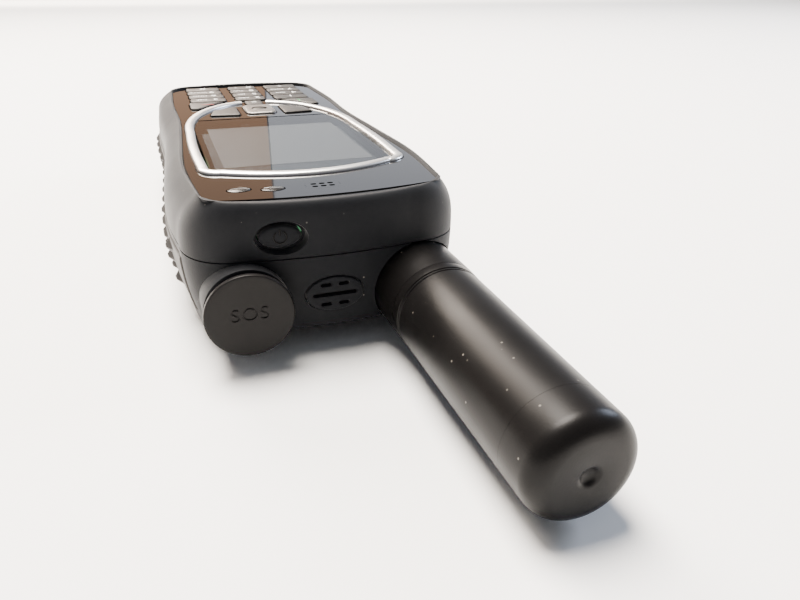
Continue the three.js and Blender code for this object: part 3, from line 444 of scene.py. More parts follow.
# %% [markdown]
# ## The real materials
# Each finish starts from what the real piece is made of. The shells are polycarbonate with a soft-touch
# coat, which keeps highlights broad and weak and shows dust. The plate is polished acrylic and mirrors the
# room. The antenna is moulded nylon, satin and a little warmer. The ring is plated: a metal with enough
# roughness to blur what it mirrors. The keys are painted with fine metal flake over black skirts, and the
# window is clear polycarbonate, whose tint and skin are all that one sees of it.

# %% Shell, antenna and grip plastics
# Broad weak highlights and a faint sheen at the edges, from the coat.
RUBBER = finish(
    "soft-touch coated polycarbonate",
    "#101216",
    0.58,
    grain=0.35,
    bump=0.02,
    mottle=0.2,
    sheen=0.12,
    dust=0.5,
    spec=0.09,
)
# Thermoplastic rubber: matt, warmer and paler than the shells, with scattered specks of dust.
GRIP = finish("moulded grip rubber", "#242120", 0.6, grain=0.5, bump=0.02, sheen=0.15, dust=0.5, spec=0.15)
# Acrylic polished as it leaves the mould: black, with sharp reflections.
GLOSS = finish("polished black acrylic", "#060607", 0.045, mottle=0.05)
# Spark-eroded mould texture on nylon: soft highlights along a turned shape.
SATIN = finish("satin black moulded nylon", "#0d0c0c", 0.36, grain=0.3, bump=0.01, mottle=0.2, dust=0.5, spec=0.1)
# Nylon again, from a mould with a coarser texture.
CAP = finish("coarse satin moulded nylon", "#151414", 0.42, grain=0.4, bump=0.008, mottle=0.12, spec=0.1)

# %% Plated, painted and printed finishes
# Plating: bright where it faces a light, with soft edges to its reflections.
SILVER = finish("satin chrome plating", "#e4e3e1", 0.34, metal=1.0, mottle=0.06)
PAD = finish("satin nickel plating", "#7d7a77", 0.32, metal=0.9, mottle=0.08)
# Lacquer with fine metal flake: dark from most sides, paler where a lamp's reflection falls.
KEYS = finish("metallic grey key paint", "#2c2a28", 0.42, metal=0.3, mottle=0.1, spec=0.22)
KEY_SIDE = finish("moulded black ABS", "#08080a", 0.4, spec=0.2)
# Pad-printed ink: flat colour, no shine.
PRINT = finish("white pad-printed ink", "#e8e8e6", 0.6, mottle=0.05)
RED = finish("red pad-printed ink", "#b5332c", 0.6, mottle=0.05)
GREEN = finish("green pad-printed ink", "#2f8f46", 0.6, mottle=0.05)

# %% Inner finishes
# The film over an unlit display: a pale grey that scatters.
LCD = finish("polyester display film", "#75706b", 0.4, mottle=0.06)
FRAME_BLACK = finish("moulded black display frame", "#0d0e10", 0.5, mottle=0.1)
MESH_BLACK = finish("woven black polyester mesh", "#0a0b0c", 0.7, grain=0.4, bump=0.05, spec=0.2)
# Sheet steel, gold flash, solder mask and moulded core show only in the pieces inside.
STEEL = finish("brushed sheet steel", "#9a9da1", 0.38, metal=1.0, grain=0.2, bump=0.004, mottle=0.1)
GOLD = finish("gold flashed brass", "#c9a24a", 0.3, metal=1.0, mottle=0.1)
BOARD = finish("solder-masked glass epoxy", "#1d5a34", 0.45, grain=1.2, bump=0.02)
CORE = finish("moulded polyamide core", "#3a3028", 0.5, mottle=0.2)
# Clear lenses over unlit lamps look dark.
LED_CLEAR = finish("clear polycarbonate lens", "#141312", 0.22, mottle=0.1, spec=0.25)
WINDOW = clear_glass("clear polycarbonate window", "#d9dde0")
print("materials:", len(bpy.data.materials))

# %% [markdown]
# ## Carried nodes
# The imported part's inner pieces already have the right shape: switches, boards, screws and the mast hardly
# show. They keep their meshes and only take a finish, which is assigned to the material slot of each mesh.


# %% Carried nodes
def dress(obj, material):
    """Gives an object one material."""
    obj.data.materials.clear()
    obj.data.materials.append(material)


CARRIED = {
    "lcd_module": FRAME_BLACK,
    "earpiece_receiver": STEEL,
    "face_plate": GLOSS,
    "display_window": WINDOW,
    "keypad_mat": GRIP,
    "keypad_board": BOARD,
    "power_switch": STEEL,
    "loudspeaker": MESH_BLACK,
    "sos_button": GRIP,
    "sos_switch": STEEL,
    "sos_hinge_pin": STEEL,
    "antenna_mast": CORE,
    "antenna_element": GOLD,
    "main_board": BOARD,
    "lower_shield": STEEL,
    "microphone": STEEL,
    "battery_contacts": GOLD,
    "battery_latch": GRIP,
    "data_connector": STEEL,
    "connector_cover": GRIP,
    **{f"screw_{i}": STEEL for i in (1, 2, 3, 4)},
}
for node, material in CARRIED.items():
    obj = frame["nodes"][node]
    obj.data.materials.clear()
    obj.data.materials.append(material)
    smooth(obj, 30)
print("carried nodes:", len(CARRIED))


def stands_for(obj, node, body, material):
    """The finer piece replaces a CAD node, moves with its body and takes its finish."""
    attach(obj, body)
    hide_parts(node)
    dress(obj, material)
    return obj


# %% [markdown]
# ## Front shell
# The real shell is moulded in polycarbonate and coated, so every edge is a little round. Two things set its
# look: the shoulders roll in towards the face, and the lip in front of the plate dips in the middle. It is
# made as a closed tube of rings: up the outside, over a soft rim, down the pocket of the face plate, under
# the ledge that carries the plate and back down the inner wall. Subdividing a box would need many guide
# edges for the same shoulder, while a ring for each level gives it directly.


# %% Front shell
CORNER_TIGHTENS, RIM_OUT, RIM_SHORT = 6, 0.75, 1.3
LIP_DROP, LIP_LENGTH, LIP_HALF, LIP_BLEND = 1.05, 6, 24.5, 0.2
POCKET_FLOOR, LEDGE_UNDER = -2.6, -4.0


def front_outer(level):
    """Outer ring at a level from 0, the joint, to 1, the rim.

    The sides come in with the cube of the level, and terms of a high power act only near the rim. The ring's
    depth below the rim is the greater of its level's depth and the lip's, by a smooth maximum: half their
    sum plus half the root of their squared difference and a small blend.
    """
    ends = END_ROUND * level**3
    corner = TOP_CORNER - CORNER_TIGHTENS * level**3
    inset = FRONT_ROUND * level**3 - RIM_OUT * level**12
    bow = TOP_BOW - LIP_BOW * level**12
    outline = plan(inset, ends, LENGTH - ends - RIM_SHORT * level**16, bow, END_BOW, corner, END_CORNER)
    rim = rim_height(outline)
    below = (rim - PART_LINE - SEAM) * (1 - level)
    drop = lip_drop(outline)
    return np.column_stack([outline, rim - (below + drop + np.sqrt((below - drop) ** 2 + LIP_BLEND**2)) / 2])


def rim_height(outline):
    """Height of the rim plane: it falls evenly along the body."""
    return DEPTH - FALL * outline[:, 1] / LENGTH


def lip_drop(outline):
    """How far the lip in front of the face plate lies below the rim plane.

    Most in the middle of the top end; it fades with the fourth power across the body and a root along it.
    """
    near = np.clip((LIP_LENGTH - outline[:, 1]) / LIP_LENGTH, 0, 1) ** 0.5
    return LIP_DROP * near * np.clip(1 - (outline[:, 0] / LIP_HALF) ** 4, 0, 1)


def on_face(outline, height):
    """Outline a height above the rim plane, or above the lip where that lies lower."""
    return np.column_stack([outline, rim_height(outline) + height - lip_drop(outline)])


def inner_plan():
    """Outline of the inner wall, which stands in further than one wall so that the shoulder keeps its wall."""
    end = LENGTH - WALL
    return plan(WALL + 1.6, WALL, end, TOP_BOW, END_BOW, TOP_CORNER - WALL, END_CORNER - WALL)


outer_levels = np.concatenate([np.linspace(0, 0.8, 13), np.linspace(0.84, 0.985, 9)])
rings = [front_outer(level) for level in outer_levels]
edge = plate_outline(GAP)
crest, last = plate_outline(GAP + 0.28), rings[-1]
for share, lift in ((0.35, 0.10), (0.7, 0.05)):
    between = last[:, :2] * (1 - share) + crest * share
    rings.append(on_face(between, -0.12 + lift * (1 - share)))
rings.append(on_face(crest, -0.1))
rings.append(on_face(plate_outline(GAP + 0.08), -0.16))
rings.append(on_face(edge, -0.32))
rings.append(on_face(edge, POCKET_FLOOR))
opening = plan(8.3, 4.6, 129.3, 2.7, 0.01, 1.0, 2.0)
rings.append(on_face(opening, POCKET_FLOOR))
rings.append(on_face(opening, LEDGE_UNDER))
rings.append(on_face(inner_plan(), LEDGE_UNDER - 0.05))
rings.append(levelled(inner_plan(), PART_LINE + SEAM))
front = loft("front shell", rings, in_phone, closed=True)
print("front shell:", len(rings), "rings of", len(edge), "points")

# %% Openings of the front shell
# The power button's hole is an oval that steps out to a shallow dish; each row is a width, height and depth.
DISH = ((8.8, 5.2, -3), (8.8, 5.2, 1.4), (9.9, 6.3, 1.45), (10.0, 6.4, 2.7), (10.5, 6.9, 3.4), (10.7, 7.1, 9))
VOLUME_Z = 20.6
VOLUME_AT = {"volume_up_key": 34, "volume_down_key": 45}
recess = loft("power recess", [levelled(oval(POWER_X, POWER_Z, w, h), t) for w, h, t in DISH], along_d)
volume_holes = [
    prism("volume hole", round_rect(d, VOLUME_Z, 9.0, 4.0, 1.3), 24, 36, across_x) for d in VOLUME_AT.values()
]
carve(front, [recess, *volume_holes])
stands_for(front, "front_housing", "phone", RUBBER)

# %% [markdown]
# ## Rear shell
# The real one is a deep moulded tray. It carries the antenna's barrel and the emergency button's boss on its
# top end. Here it is a solid of rings from which the hollows are taken: the electronics' room, the battery
# bay, the antenna's bore, the well of the emergency button, the sounder opening, the connector mouth and the
# screw wells. Booleans suit it, because each hollow is a plain shape with crisp edges that meets a curved
# wall at an odd place. They run in three steps, so that the barrel and boss join before they are bored.


# %% Rear shell
def rear_ring(z):
    """Outer ring of the rear half at a height: slow draft on the sides, a round edge at the back."""
    level = min(max((PART_LINE - z) / PART_LINE, 0), 1)
    turn = min(max((BACK_EDGE - BACK - z) / BACK_EDGE, 0), 1)
    edge = BACK_EDGE * (1 - math.sqrt(1 - turn**2))
    ends = END_ROUND * level**2
    inset = draft(level) + edge
    return levelled(plan(inset, ends, LENGTH - ends - edge, TOP_BOW, END_BOW, TOP_CORNER, END_CORNER), z)


def draft(level):
    """How far the rear shell's side has come in at a level from 0, the joint, to 1: a power of the level."""
    return BACK_ROUND * level**2.2


heights = -BACK + BACK_EDGE * (1 - np.sin(np.linspace(np.pi / 2, 0, 9)))
heights = np.concatenate([heights, np.linspace(0.4, PART_LINE - SEAM, 12)])
rear = loft("rear shell", [rear_ring(z) for z in heights], in_phone)
t = np.linspace(0, 1, 17)
ramp = np.column_stack([1 + 15 * t, -BACK * (3 * t**2 - 2 * t**3)])
under = np.vstack([[[-14, 0]], ramp, [[16, -12], [-14, -12]]])[::-1]
BARREL, BORE, AXIS = 10.8, 9.95, 0.01  # radii; a profile ends this close to its axis
BATTERY_D = 84.8  # middle of the battery bay
barrel_line = [(AXIS, 3), (BORE + 0.3, 3), (BARREL, 7), (BARREL, 51.15), (AXIS, 51.15)]
barrel = turned("barrel", barrel_line, in_antenna)
boss_line = [(AXIS, -5.3), (8.1, -5.3), (8.32, -5.22), (8.4, -5.0), (8.4, 5.6), (AXIS, 5.6)]
boss = turned("boss", boss_line, in_phone, shift=(SOS_X, SOS_Z))
room = prism("room", plan(3.5, WALL, LENGTH - 2.6, TOP_BOW, END_BOW, 10.3, 9.3), 2.2, 18, in_phone)
roof = prism("roof", round_rect(0, BATTERY_D, 47.3, 66.9, 5), -4.5, 8.45, in_phone)
lid = prism("above the joint", round_rect(0, 60, 100, 200, 5), PART_LINE - SEAM, 40, in_phone)
carve(rear, [prism("under", under, -40, 40, across_x), room])
carve(rear, [barrel, roof, boss], "UNION")
carve(
    rear,
    [
        turned("bore", [(AXIS, -9), (BORE, -9), (BORE, 50.3), (AXIS, 50.3)], in_antenna),
        turned("well", [(AXIS, -9), (6.9, -9), (6.9, 4.4), (AXIS, 4.4)], in_phone, shift=(SOS_X, SOS_Z)),
        prism("bay", round_rect(0, BATTERY_D, 44.1, 63.7, 3.35), -9, 6.85, in_phone),
        prism("sounder", oval(-0.3, 7.2, 12.4, 8.0), -0.5, 9, along_d),
        prism("mouth", round_rect(0, 9.4, 11.0, 4.6, 0.6), -140, -120, along_d),
        prism("flap seat", round_rect(0, 9.1, 15.6, 9.2, 0.8), -140, -134.1, along_d),
        prism("latch slot", round_rect(0, 123.85, 12.6, 7.2, 0.5), -6.1, -2.2, in_phone),
        lid,
    ],
)
SCREWS = ((-21.5, 19), (0.6, 18.6), (-22, 127), (22, 127))
wells = []
for x, d in SCREWS:
    wells.append(prism("well", oval(x, d, 4.7, 4.7, 32), -9, -1.8, in_phone))
    wells.append(prism("shaft", oval(x, d, 2.8, 2.8, 24), -9, 18, in_phone))
carve(rear, wells)
stands_for(rear, "rear_housing", "phone", RUBBER)
print("rear shell:", len(rear.data.polygons), "faces")

# %% [markdown]
# ## Side grips
# Each side carries a panel of soft rubber with staggered four-sided studs, which the fingers hold. Sixty
# small pyramids laid on a slab would show a seam round each. Instead the panel's skin is a grid that follows
# the waist, and the studs are a height field on it, so that they melt into the panel as moulded ones do.


# %% Side grips
STUD_ROWS, STUD_PITCH, STUD_FIRST, STUD_LAST = (4.2, 8.1, 12.0), 7.4, 19, 110
STUD_HALF_LENGTH, STUD_HALF_HEIGHT, STUD_RISE = 2.9, 1.85, 1.3
GRIP_END, GRIP_LOW, GRIP_HIGH, GRIP_LIMIT = 112, 1.6, 14.3, 31.38


def stud_height(d, z):
    """Height of the studs: pyramids on a staggered grid, flattened at the tip.

    A pyramid falls with the sum of the shares of its half length and its half height from its centre.
    """
    height = np.zeros_like(d)
    for row, low in enumerate(STUD_ROWS):
        stagger = 0.5 * (row % 2)
        centre = STUD_FIRST + STUD_PITCH * (np.round((d - STUD_FIRST) / STUD_PITCH - stagger) + stagger)
        away = np.abs(d - centre) / STUD_HALF_LENGTH + np.abs(z - low) / STUD_HALF_HEIGHT
        cone = np.clip(1.15 * (1 - away), 0, 0.85)
        height = np.maximum(height, np.where((centre > STUD_FIRST - 1) & (centre < STUD_LAST), cone, 0))
    return height


def side_grip(side, start):
    """Closed slab: an outer skin with studs over an inner skin just in the shell's wall, joined at the edge."""
    d, z = np.meshgrid(np.linspace(start, GRIP_END, 560), np.linspace(GRIP_LOW, GRIP_HIGH, 72), indexing="ij")
    level = np.clip((PART_LINE - z) / PART_LINE, 0, 1)
    corner = np.array([np.interp(d[:, 0], rear_side[:, 1], rear_side[:, 0])]).T
    surface = corner - draft(level)
    edge = np.minimum.reduce([d - start, GRIP_END - d, z - GRIP_LOW, GRIP_HIGH - z])
    soft = 1 - np.clip(1 - edge / 0.7, 0, 1) ** 2
    skin = np.minimum(surface - 0.25 + 0.6 * soft + STUD_RISE * stud_height(d, z), GRIP_LIMIT)
    rows, columns = d.shape
    outer = np.column_stack([skin.ravel() * side, d.ravel(), z.ravel()])
    inner = np.column_stack([(surface - 0.48).ravel() * side, d.ravel(), z.ravel()])
    i, j = np.meshgrid(np.arange(rows - 1), np.arange(columns - 1), indexing="ij")
    a = (i * columns + j).ravel()
    quads = np.stack([a, a + columns, a + columns + 1, a + 1], -1)
    count = rows * columns
    border = np.concatenate(
        [
            np.arange(rows) * columns,
            (rows - 1) * columns + np.arange(1, columns),
            np.arange(rows - 2, -1, -1) * columns + columns - 1,
            np.arange(columns - 2, 0, -1),
        ]
    )
    ahead = np.roll(border, -1)
    walls = np.stack([border, border + count, ahead + count, ahead], -1)
    faces = np.vstack([quads, (quads + count)[:, ::-1], walls])
    if side < 0:
        faces = faces[:, ::-1]
    return mesh_object("grip", in_phone(np.vstack([outer, inner])), faces.tolist(), 60)


widest = plan(0, 0, LENGTH, TOP_BOW, END_BOW, TOP_CORNER, END_CORNER)
rear_side = widest[(widest[:, 0] > 15)]
rear_side = rear_side[np.argsort(rear_side[:, 1])]
for side, node, start in ((-1, "grip_left", 7), (1, "grip_right", 17)):
    grip = stands_for(side_grip(side, start), node, "phone", GRIP)
    print(node, "has", len(grip.data.vertices), "points")

# %% [markdown]
# ## Silver ring and lamps
# The ring is a plated moulding that frames the display and breaks off at the menu key. A curve with a round
# bevel could make it, but its crown is fuller than a circle, so its own section is swept along its centre
# line. The lamps beside it are low clear domes.


# %% Ring and lamps
CROWN = 0.75


def ring_line():
    """Centre line of the ring, counter-clockwise from one side of its opening to the other.

    Half an ellipse closes it at the keys, gently bowed sides follow, and a parabola crosses the near end.
    """
    half, near, bow, corner = 21.7, 19.2, 5, 3.6
    far, reach, gap = 61.6, 36.8, 4.0
    a = np.linspace(0, math.acos(gap / half), 60)
    ellipse = np.column_stack([half * np.cos(a), far + reach * np.sin(a)])
    inner = half - corner
    turn = np.radians(np.linspace(-90, 0, 20))
    low = np.linspace(near + corner, far, 30)[1:-1]
    flank = np.column_stack([half + 0.5 * np.sin(np.pi * (low - low[0]) / (low[-1] - low[0])), low])
    x = np.linspace(0, inner, 24)[:-1]
    front_edge = np.column_stack([x, near - bow * (1 - (x / inner) ** 2)])
    bend = np.column_stack([inner + corner * np.cos(turn), near + corner * (1 + np.sin(turn))])
    right = np.vstack([front_edge, bend, flank, ellipse])
    return np.vstack([right[1:][::-1] * [-1, 1], right])


def swept_band(name, line, width, low, high, to_row):
    """Band along an open line, closed at both ends.

    Its crown is a half circle whose sine and cosine are raised to 0.8, which makes it a little fuller.
    """
    along = np.gradient(line, axis=0)
    along /= np.linalg.norm(along, axis=1, keepdims=True)
    normal = np.stack([along[:, 1], -along[:, 0]], -1)
    section = [(width / 2, low)]
    for a in np.linspace(0, np.pi, 15):
        off = width / 2 * math.copysign(abs(math.cos(a)) ** 0.8, math.cos(a))
        section.append((off, high - CROWN + CROWN * math.sin(a) ** 0.8))
    section.append((-width / 2, low))
    rings = [np.column_stack([line + normal * off, np.full(len(line), h)]) for off, h in section]
    rings = np.stack(rings, 1)
    rows, columns, _ = rings.shape
    faces = [f[::-1] for f in band_faces(rows, columns)]
    faces.append(list(range(columns)))
    faces.append(list(range((rows - 1) * columns, rows * columns))[::-1])
    return mesh_object(name, to_row(rings.reshape(-1, 3)), faces, 50)


ring = swept_band("silver ring", ring_line(), 2.3, PLATE_TOP - 0.8, PLATE_TOP + CROWN, in_face)
stands_for(ring, "bezel_ring", "phone", SILVER)
print("ring:", len(ring_line()), "stations")

for node, x, d in (("led_left", -16.3, 6.5), ("led_right", -9.9, 5.3)):
    lamp = pillow(node, oval(x, d, 4.4, 2.8), PLATE_TOP - 2.3, PLATE_TOP + 0.22, 0.12, in_face, dome=0.14, sharp=60)
    stands_for(lamp, node, "phone", LED_CLEAR)

# %% [markdown]
# ## Keys
# The keys are separate caps with a soft edge and a slight dome, painted on top and black round the sides.
# Each is a pillow: its outline shrinks along a quarter circle as it rises, then climbs to a low dome. A Bevel
# modifier would round the corners of an odd outline unevenly. The painted top and the black skirt are two
# materials on one mesh, picked by face.

# %% Key outlines
SOFT = [(6.3, 78.6), (14.9, 79.6), (13.4, 86.6), (6.3, 90.6)]
CALL = [(8.6, 100.4), (12.6, 96.6), (16.6, 90.9), (19.3, 90.9), (19.3, 100.4)]
CORNER = 0.9
DIGIT_TOP, DIGIT_PITCH, DIGIT_HEIGHT = 104.7, 6.9, 5.7
DIGIT_X, DIGIT_WIDTH = (-13.1, 0, 13.1), (10.9, 9.3, 10.9)
PAD_D = 86
KEY_SHAPES = {
    "soft_key_left": softened(mirrored(SOFT), CORNER),
    "soft_key_right": softened(SOFT, CORNER),
    "menu_key": round_rect(0, 96.65, 5.2, 6.5, CORNER),
    "end_key": softened(mirrored(CALL), CORNER),
    "call_key": softened(CALL, CORNER),
    "centre_key": oval(0, PAD_D, 4, 4),
}
LEGENDS = {"menu_key": ("≡", 3.0, PRINT), "end_key": ("—", 3.6, RED), "call_key": ("(", 3.6, GREEN)}
SMALL = {"2": "ABC", "3": "DEF", "4": "GHI", "5": "JKL", "6": "MNO", "7": "PQRS", "8": "TUV", "9": "WXYZ", "0": "+"}
for i, name in enumerate("1 2 3 4 5 6 7 8 9 star 0 hash".split()):
    column = 2 - i % 3
    row_d = DIGIT_TOP + DIGIT_PITCH * (i // 3)
    KEY_SHAPES["key_" + name] = round_rect(DIGIT_X[column], row_d, DIGIT_WIDTH[column], DIGIT_HEIGHT, CORNER)
    LEGENDS["key_" + name] = ({"star": "*", "hash": "#"}.get(name, name), 3.4, PRINT)


# %% [markdown]
# ## Legends
# Real legends are printed. Here each is a font curve made into a plate a few hundredths of a millimetre
# thick that stands on the key, so it stays sharp at any distance. The same helper cuts
# the word of the emergency cap.


# %% Lettering
def lettering(name, text, size, extrude, place, spacing=1.0):
    """Object of letters: the font's mesh, whose points a given function puts into the part frame."""
    curve = bpy.data.curves.new(name, "FONT")
    curve.body, curve.size, curve.extrude, curve.space_character = text, size, extrude, spacing
    curve.align_x, curve.align_y = "CENTER", "CENTER"
    source = bpy.data.objects.new(name, curve)
    bpy.context.scene.collection.objects.link(source)
    made = result_of(source)
    bpy.data.objects.remove(source)
    points = np.zeros(len(made.vertices) * 3)
    made.vertices.foreach_get("co", points)
    made.vertices.foreach_set("co", place(points.reshape(-1, 3)).ravel())
    made.update()
    obj = bpy.data.objects.new(name, made)
    bpy.context.scene.collection.objects.link(obj)
    return obj


def legend(text, size, x, d, body, material):
    """Printed legend on a key, read from the bottom end."""

    def on_key(points):
        """Part frame of letter points: half a turn, because the letters' up is towards the top end."""
        return in_face(points * [-1, -1, 1] + [x, d, KEY_TOP - 0.02])

    obj = lettering("print_" + body, text, size, 0.02, on_key)
    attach(obj, body)
    dress(obj, material)


def skirted(obj, outline):
    """Gives the faces of a key's sides, below its rounded edge, the black of its skirt."""
    obj.data.materials.append(KEY_SIDE)
    sides = 3 * len(outline)
    index = np.zeros(len(obj.data.polygons), np.int32)
    index[:sides] = 1
    obj.data.polygons.foreach_set("material_index", index)


# %% Key caps
DIGIT_SHIFT, SMALL_SHIFT, SMALL_SIZE = 2.3, 2.0, 1.9
for name, outline in KEY_SHAPES.items():
    obj = pillow(name, outline, KEY_TOP - KEY_TALL, KEY_TOP, 0.45, in_face, dome=0.12)
    stands_for(obj, name, name + "_body", KEYS)
    skirted(obj, outline)
    middle = (outline.max(0) + outline.min(0)) / 2
    if name in LEGENDS:
        text, size, material = LEGENDS[name]
        small = SMALL.get(name[4:])
        shift = DIGIT_SHIFT if small else 0
        legend(text, size, middle[0] + shift, middle[1], name + "_body", material)
        if small:
            legend(small, SMALL_SIZE, middle[0] - SMALL_SHIFT, middle[1], name + "_body", material)
print("keys:", len(KEY_SHAPES), "with", len(LEGENDS), "legends and", len(SMALL), "letter groups")

# %% Navigation pad and volume keys
pad = pillow("pad", round_rect(0, PAD_D, 8.6, 12.4, 1.6), KEY_TOP - KEY_TALL, KEY_TOP, 0.5, in_face, dome=0.05)
carve(pad, [prism("centre", oval(0, PAD_D, 4.6, 4.6), -9, 3, in_face)])
stands_for(pad, "d_pad", "d_pad_body", PAD)

for name, d in VOLUME_AT.items():
    outer = float(half_width(d)) + 0.45
    outline = round_rect(d, VOLUME_Z, 8.4, 3.4, 1.1)
    key = pillow(name, outline, outer - 3.0, outer, 0.5, across_x, dome=0.1)
    stands_for(key, name, name[:-4], GRIP)

# %% [markdown]
# ## Earpiece and display
# The earpiece is six small slots in the glossy face, cut by Booleans because their walls show. Behind the
# clear window lies the pale display film in its black frame. The film is a thin plate just above the
# display module, so the window's tint and reflections lie over it as they do on the real one.

# %% Earpiece and display film
EARPIECE_D = 5.4
grille = prism("earpiece", round_rect(0, EARPIECE_D, 6.92, 4.32, 1.44), PLATE_TOP - 1.6, PLATE_TOP, in_face)
holes = [round_rect(x, EARPIECE_D + d, 1.2, 0.9, 0.4, 4) for x in (-1.7, 0, 1.7) for d in (-0.85, 0.85)]
carve(grille, [prism("hole", hole, -9, 3, in_face) for hole in holes])
stands_for(grille, "earpiece_grille", "phone", GLOSS)
film = prism("display film", round_rect(0.6, 50.4, 34.6, 41.5, 0.6), -2.5, -2.42, in_face)
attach(film, "phone")
dress(film, LCD)
print("earpiece:", len(holes), "slots")

# %% [markdown]
# ## Power button
# A rubber button in an oval dish, with a raised power symbol. The symbol is an open ring and a stroke, each
# a thin round cord swept along its line and sunk halfway into the button's dome.


# %% Power button
def tube(name, line, radius, to_row, steps=12):
    """Round cord along a line that lies in one plane, closed at both ends."""
    line = np.asarray(line, float)
    along = np.gradient(line, axis=0)
    along /= np.linalg.norm(along, axis=1, keepdims=True)
    normal = np.stack([along[:, 1], -along[:, 0]], -1)
    rings = []
    for a in np.linspace(0, 2 * np.pi, steps, endpoint=False):
        lift = np.full(len(line), radius * math.sin(a))
        rings.append(np.column_stack([line + normal * radius * math.cos(a), lift]))
    rings = np.stack(rings, 1)
    faces = [f[::-1] for f in band_faces(len(line), steps)]
    faces.append(list(range(steps)))
    faces.append(list(range((len(line) - 1) * steps, len(line) * steps))[::-1])
    return mesh_object(name, to_row(rings.reshape(-1, 3)), faces, 60)


def on_button(points):
    """Part frame of points on the power button: its face looks along -Y."""
    x, z, out = points.T
    return in_phone(np.column_stack([POWER_X + x, face_y + 0.03 - out, POWER_Z + z]))


face_y = -TOP_BOW * (1 - (POWER_X / float(half_width(WAIST_AT[0]))) ** 2) + 0.6
outline = oval(POWER_X, POWER_Z, 8.2, 4.6)
button = pillow("power button", outline, -face_y - 3.2, -face_y, 0.6, along_d, dome=0.2, sharp=60)
stands_for(button, "power_button", "power", RUBBER)
turn = np.radians(np.linspace(125, 415, 40))
open_ring = 1.25 * np.column_stack([np.cos(turn), np.sin(turn)])
stroke = np.column_stack([np.zeros(8), np.linspace(0.3, 1.5, 8)])
for line in (open_ring, stroke):
    mark = tube("power symbol", line, 0.14, on_button)
    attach(mark, "power")
    dress(mark, SATIN)
print("power button: face at y =", round(face_y, 2), "mm")

# %% [markdown]
# ## Sounder
# An oval moulded grille with one long slot and four short ones. It is a low pillow, cut right through, so
# that the dark loudspeaker behind it shows in the slots.

# %% Sounder
SOUNDER_X, SOUNDER_Z = -0.3, 7.2
front_y = -TOP_BOW - 0.2
outline = oval(SOUNDER_X, SOUNDER_Z, 11.8, 7.4)
grille = pillow("sounder", outline, -front_y - 1.3, -front_y, 0.2, along_d, sharp=50)
slots = [round_rect(SOUNDER_X, SOUNDER_Z, 9.2, 0.9, 0.42, 4)]
for x in (-1.85, 1.85):
    for z in (-2.15, 2.15):
        slots.append(round_rect(SOUNDER_X + x, SOUNDER_Z + z, 2.3, 0.85, 0.4, 4))
carve(grille, [prism("slot", s, 0, 9, along_d) for s in slots])
stands_for(grille, "speaker_grille", "phone", RUBBER)
print("sounder:", len(slots), "slots")

# %% [markdown]
# ## Emergency cap
# The cap is turned about its own axis: a flat face with a round edge over a skirt that plugs into the boss.
# Its plain word is engraved, by taking solid letters out of the face, so it catches light as a cut does.

# %% Emergency cap
CAP_FACE = -8.3
profile = [(r, CAP_FACE) for r in (AXIS, 2.0, 4.0, 6.0, 7.5)]
profile += [(8.25 + 0.35 * math.sin(a), -7.95 - 0.35 * math.cos(a)) for a in np.linspace(0, np.pi / 2, 6)]
profile += [(8.6, -7.35), (8.5, -7.2), (7.4, -7.2), (7.4, -5.65), (6.4, -5.6)]
profile += [(6.4, -3.6), (5.3, -3.6), (5.3, -7.2), (AXIS, -7.2)]
cap = turned("emergency cap", profile, in_phone, 160, sharp=40, shift=(SOS_X, SOS_Z))


def on_cap(points):
    """Part frame of letter points: their middle is 0.35 mm before the cap's face, so they cut 0.25 mm deep."""
    x, z, out = points.T
    return in_phone(np.column_stack([SOS_X + x, CAP_FACE - out - 0.35, SOS_Z + 0.45 + z]))


letters = lettering("word", "SOS", 3.9, 0.6, on_cap, spacing=1.12)
carve(cap, [letters], sharp=40)
stands_for(cap, "sos_cap", "emergency_cap", CAP)
print("emergency cap:", len(cap.data.polygons), "faces")

# %% [markdown]
# ## Antenna
# The real antenna is a moulded tube over a wound element, in three pieces: a boot, a long sleeve and a tip
# with a round edge and a small dimple. Each is a profile of (radius, position) pairs turned about the leaning
# axis. Two fine grooves near the boot mark the joint. They are in the profile rather than in a bump map, so
# that their edges catch the light from every side.

# %% Antenna
TUBE, CORE_RADIUS, TIP_JOINT = 9.53, 8.43, -55.64
TIP_ROUND = 3.4
boot = [(CORE_RADIUS, -12.7), (9.66, -12.7), (9.68, -12.4), (9.68, 9.5), (CORE_RADIUS, 9.5)]
made = turned("antenna boot", boot + [(CORE_RADIUS, 9.5)], in_antenna, 160, sharp=30)
stands_for(made, "antenna_boot", "antenna", SATIN)
sleeve = [(CORE_RADIUS, -55.6), (TUBE, -55.6), (TUBE, -15.95), (9.36, -15.8), (9.36, -15.7), (9.55, -15.55)]
sleeve += [(9.55, -15.2), (9.36, -15.05), (9.36, -14.9), (9.58, -14.75), (9.66, -12.8), (9.64, -12.74)]
sleeve += [(CORE_RADIUS, -12.74)]
made = turned("antenna sleeve", sleeve, in_antenna, 160, sharp=30)
stands_for(made, "antenna_tube", "antenna", SATIN)
tip = [(AXIS, -63.9), (0.9, -63.95), (1.35, -64.2), (1.65, -64.5), (2.2, -64.6)]
for a in np.linspace(0, np.pi / 2, 12):
    tip.append((TUBE - TIP_ROUND * (1 - math.sin(a)), -61.2 - TIP_ROUND * math.cos(a)))
tip += [(TUBE, TIP_JOINT), (AXIS, TIP_JOINT)]
made = turned("antenna tip", tip, in_antenna, 160, sharp=40)
stands_for(made, "antenna_tip", "antenna", SATIN)
print("antenna: boot", len(boot) + 1, "sleeve", len(sleeve), "and tip", len(tip), "profile points")

# %% [markdown]
# ## Battery
# The pack closes the back and is the flat face on which the phone lies. Only its outer edge shows, so a
# pillow with a soft edge does. It is built face up and turned over, because pillows are rounded on top.


# %% Battery
def turned_over(points):
    """Part frame of a solid built face up that looks down instead: half a turn about X."""
    return in_phone(points * [1, -1, -1])


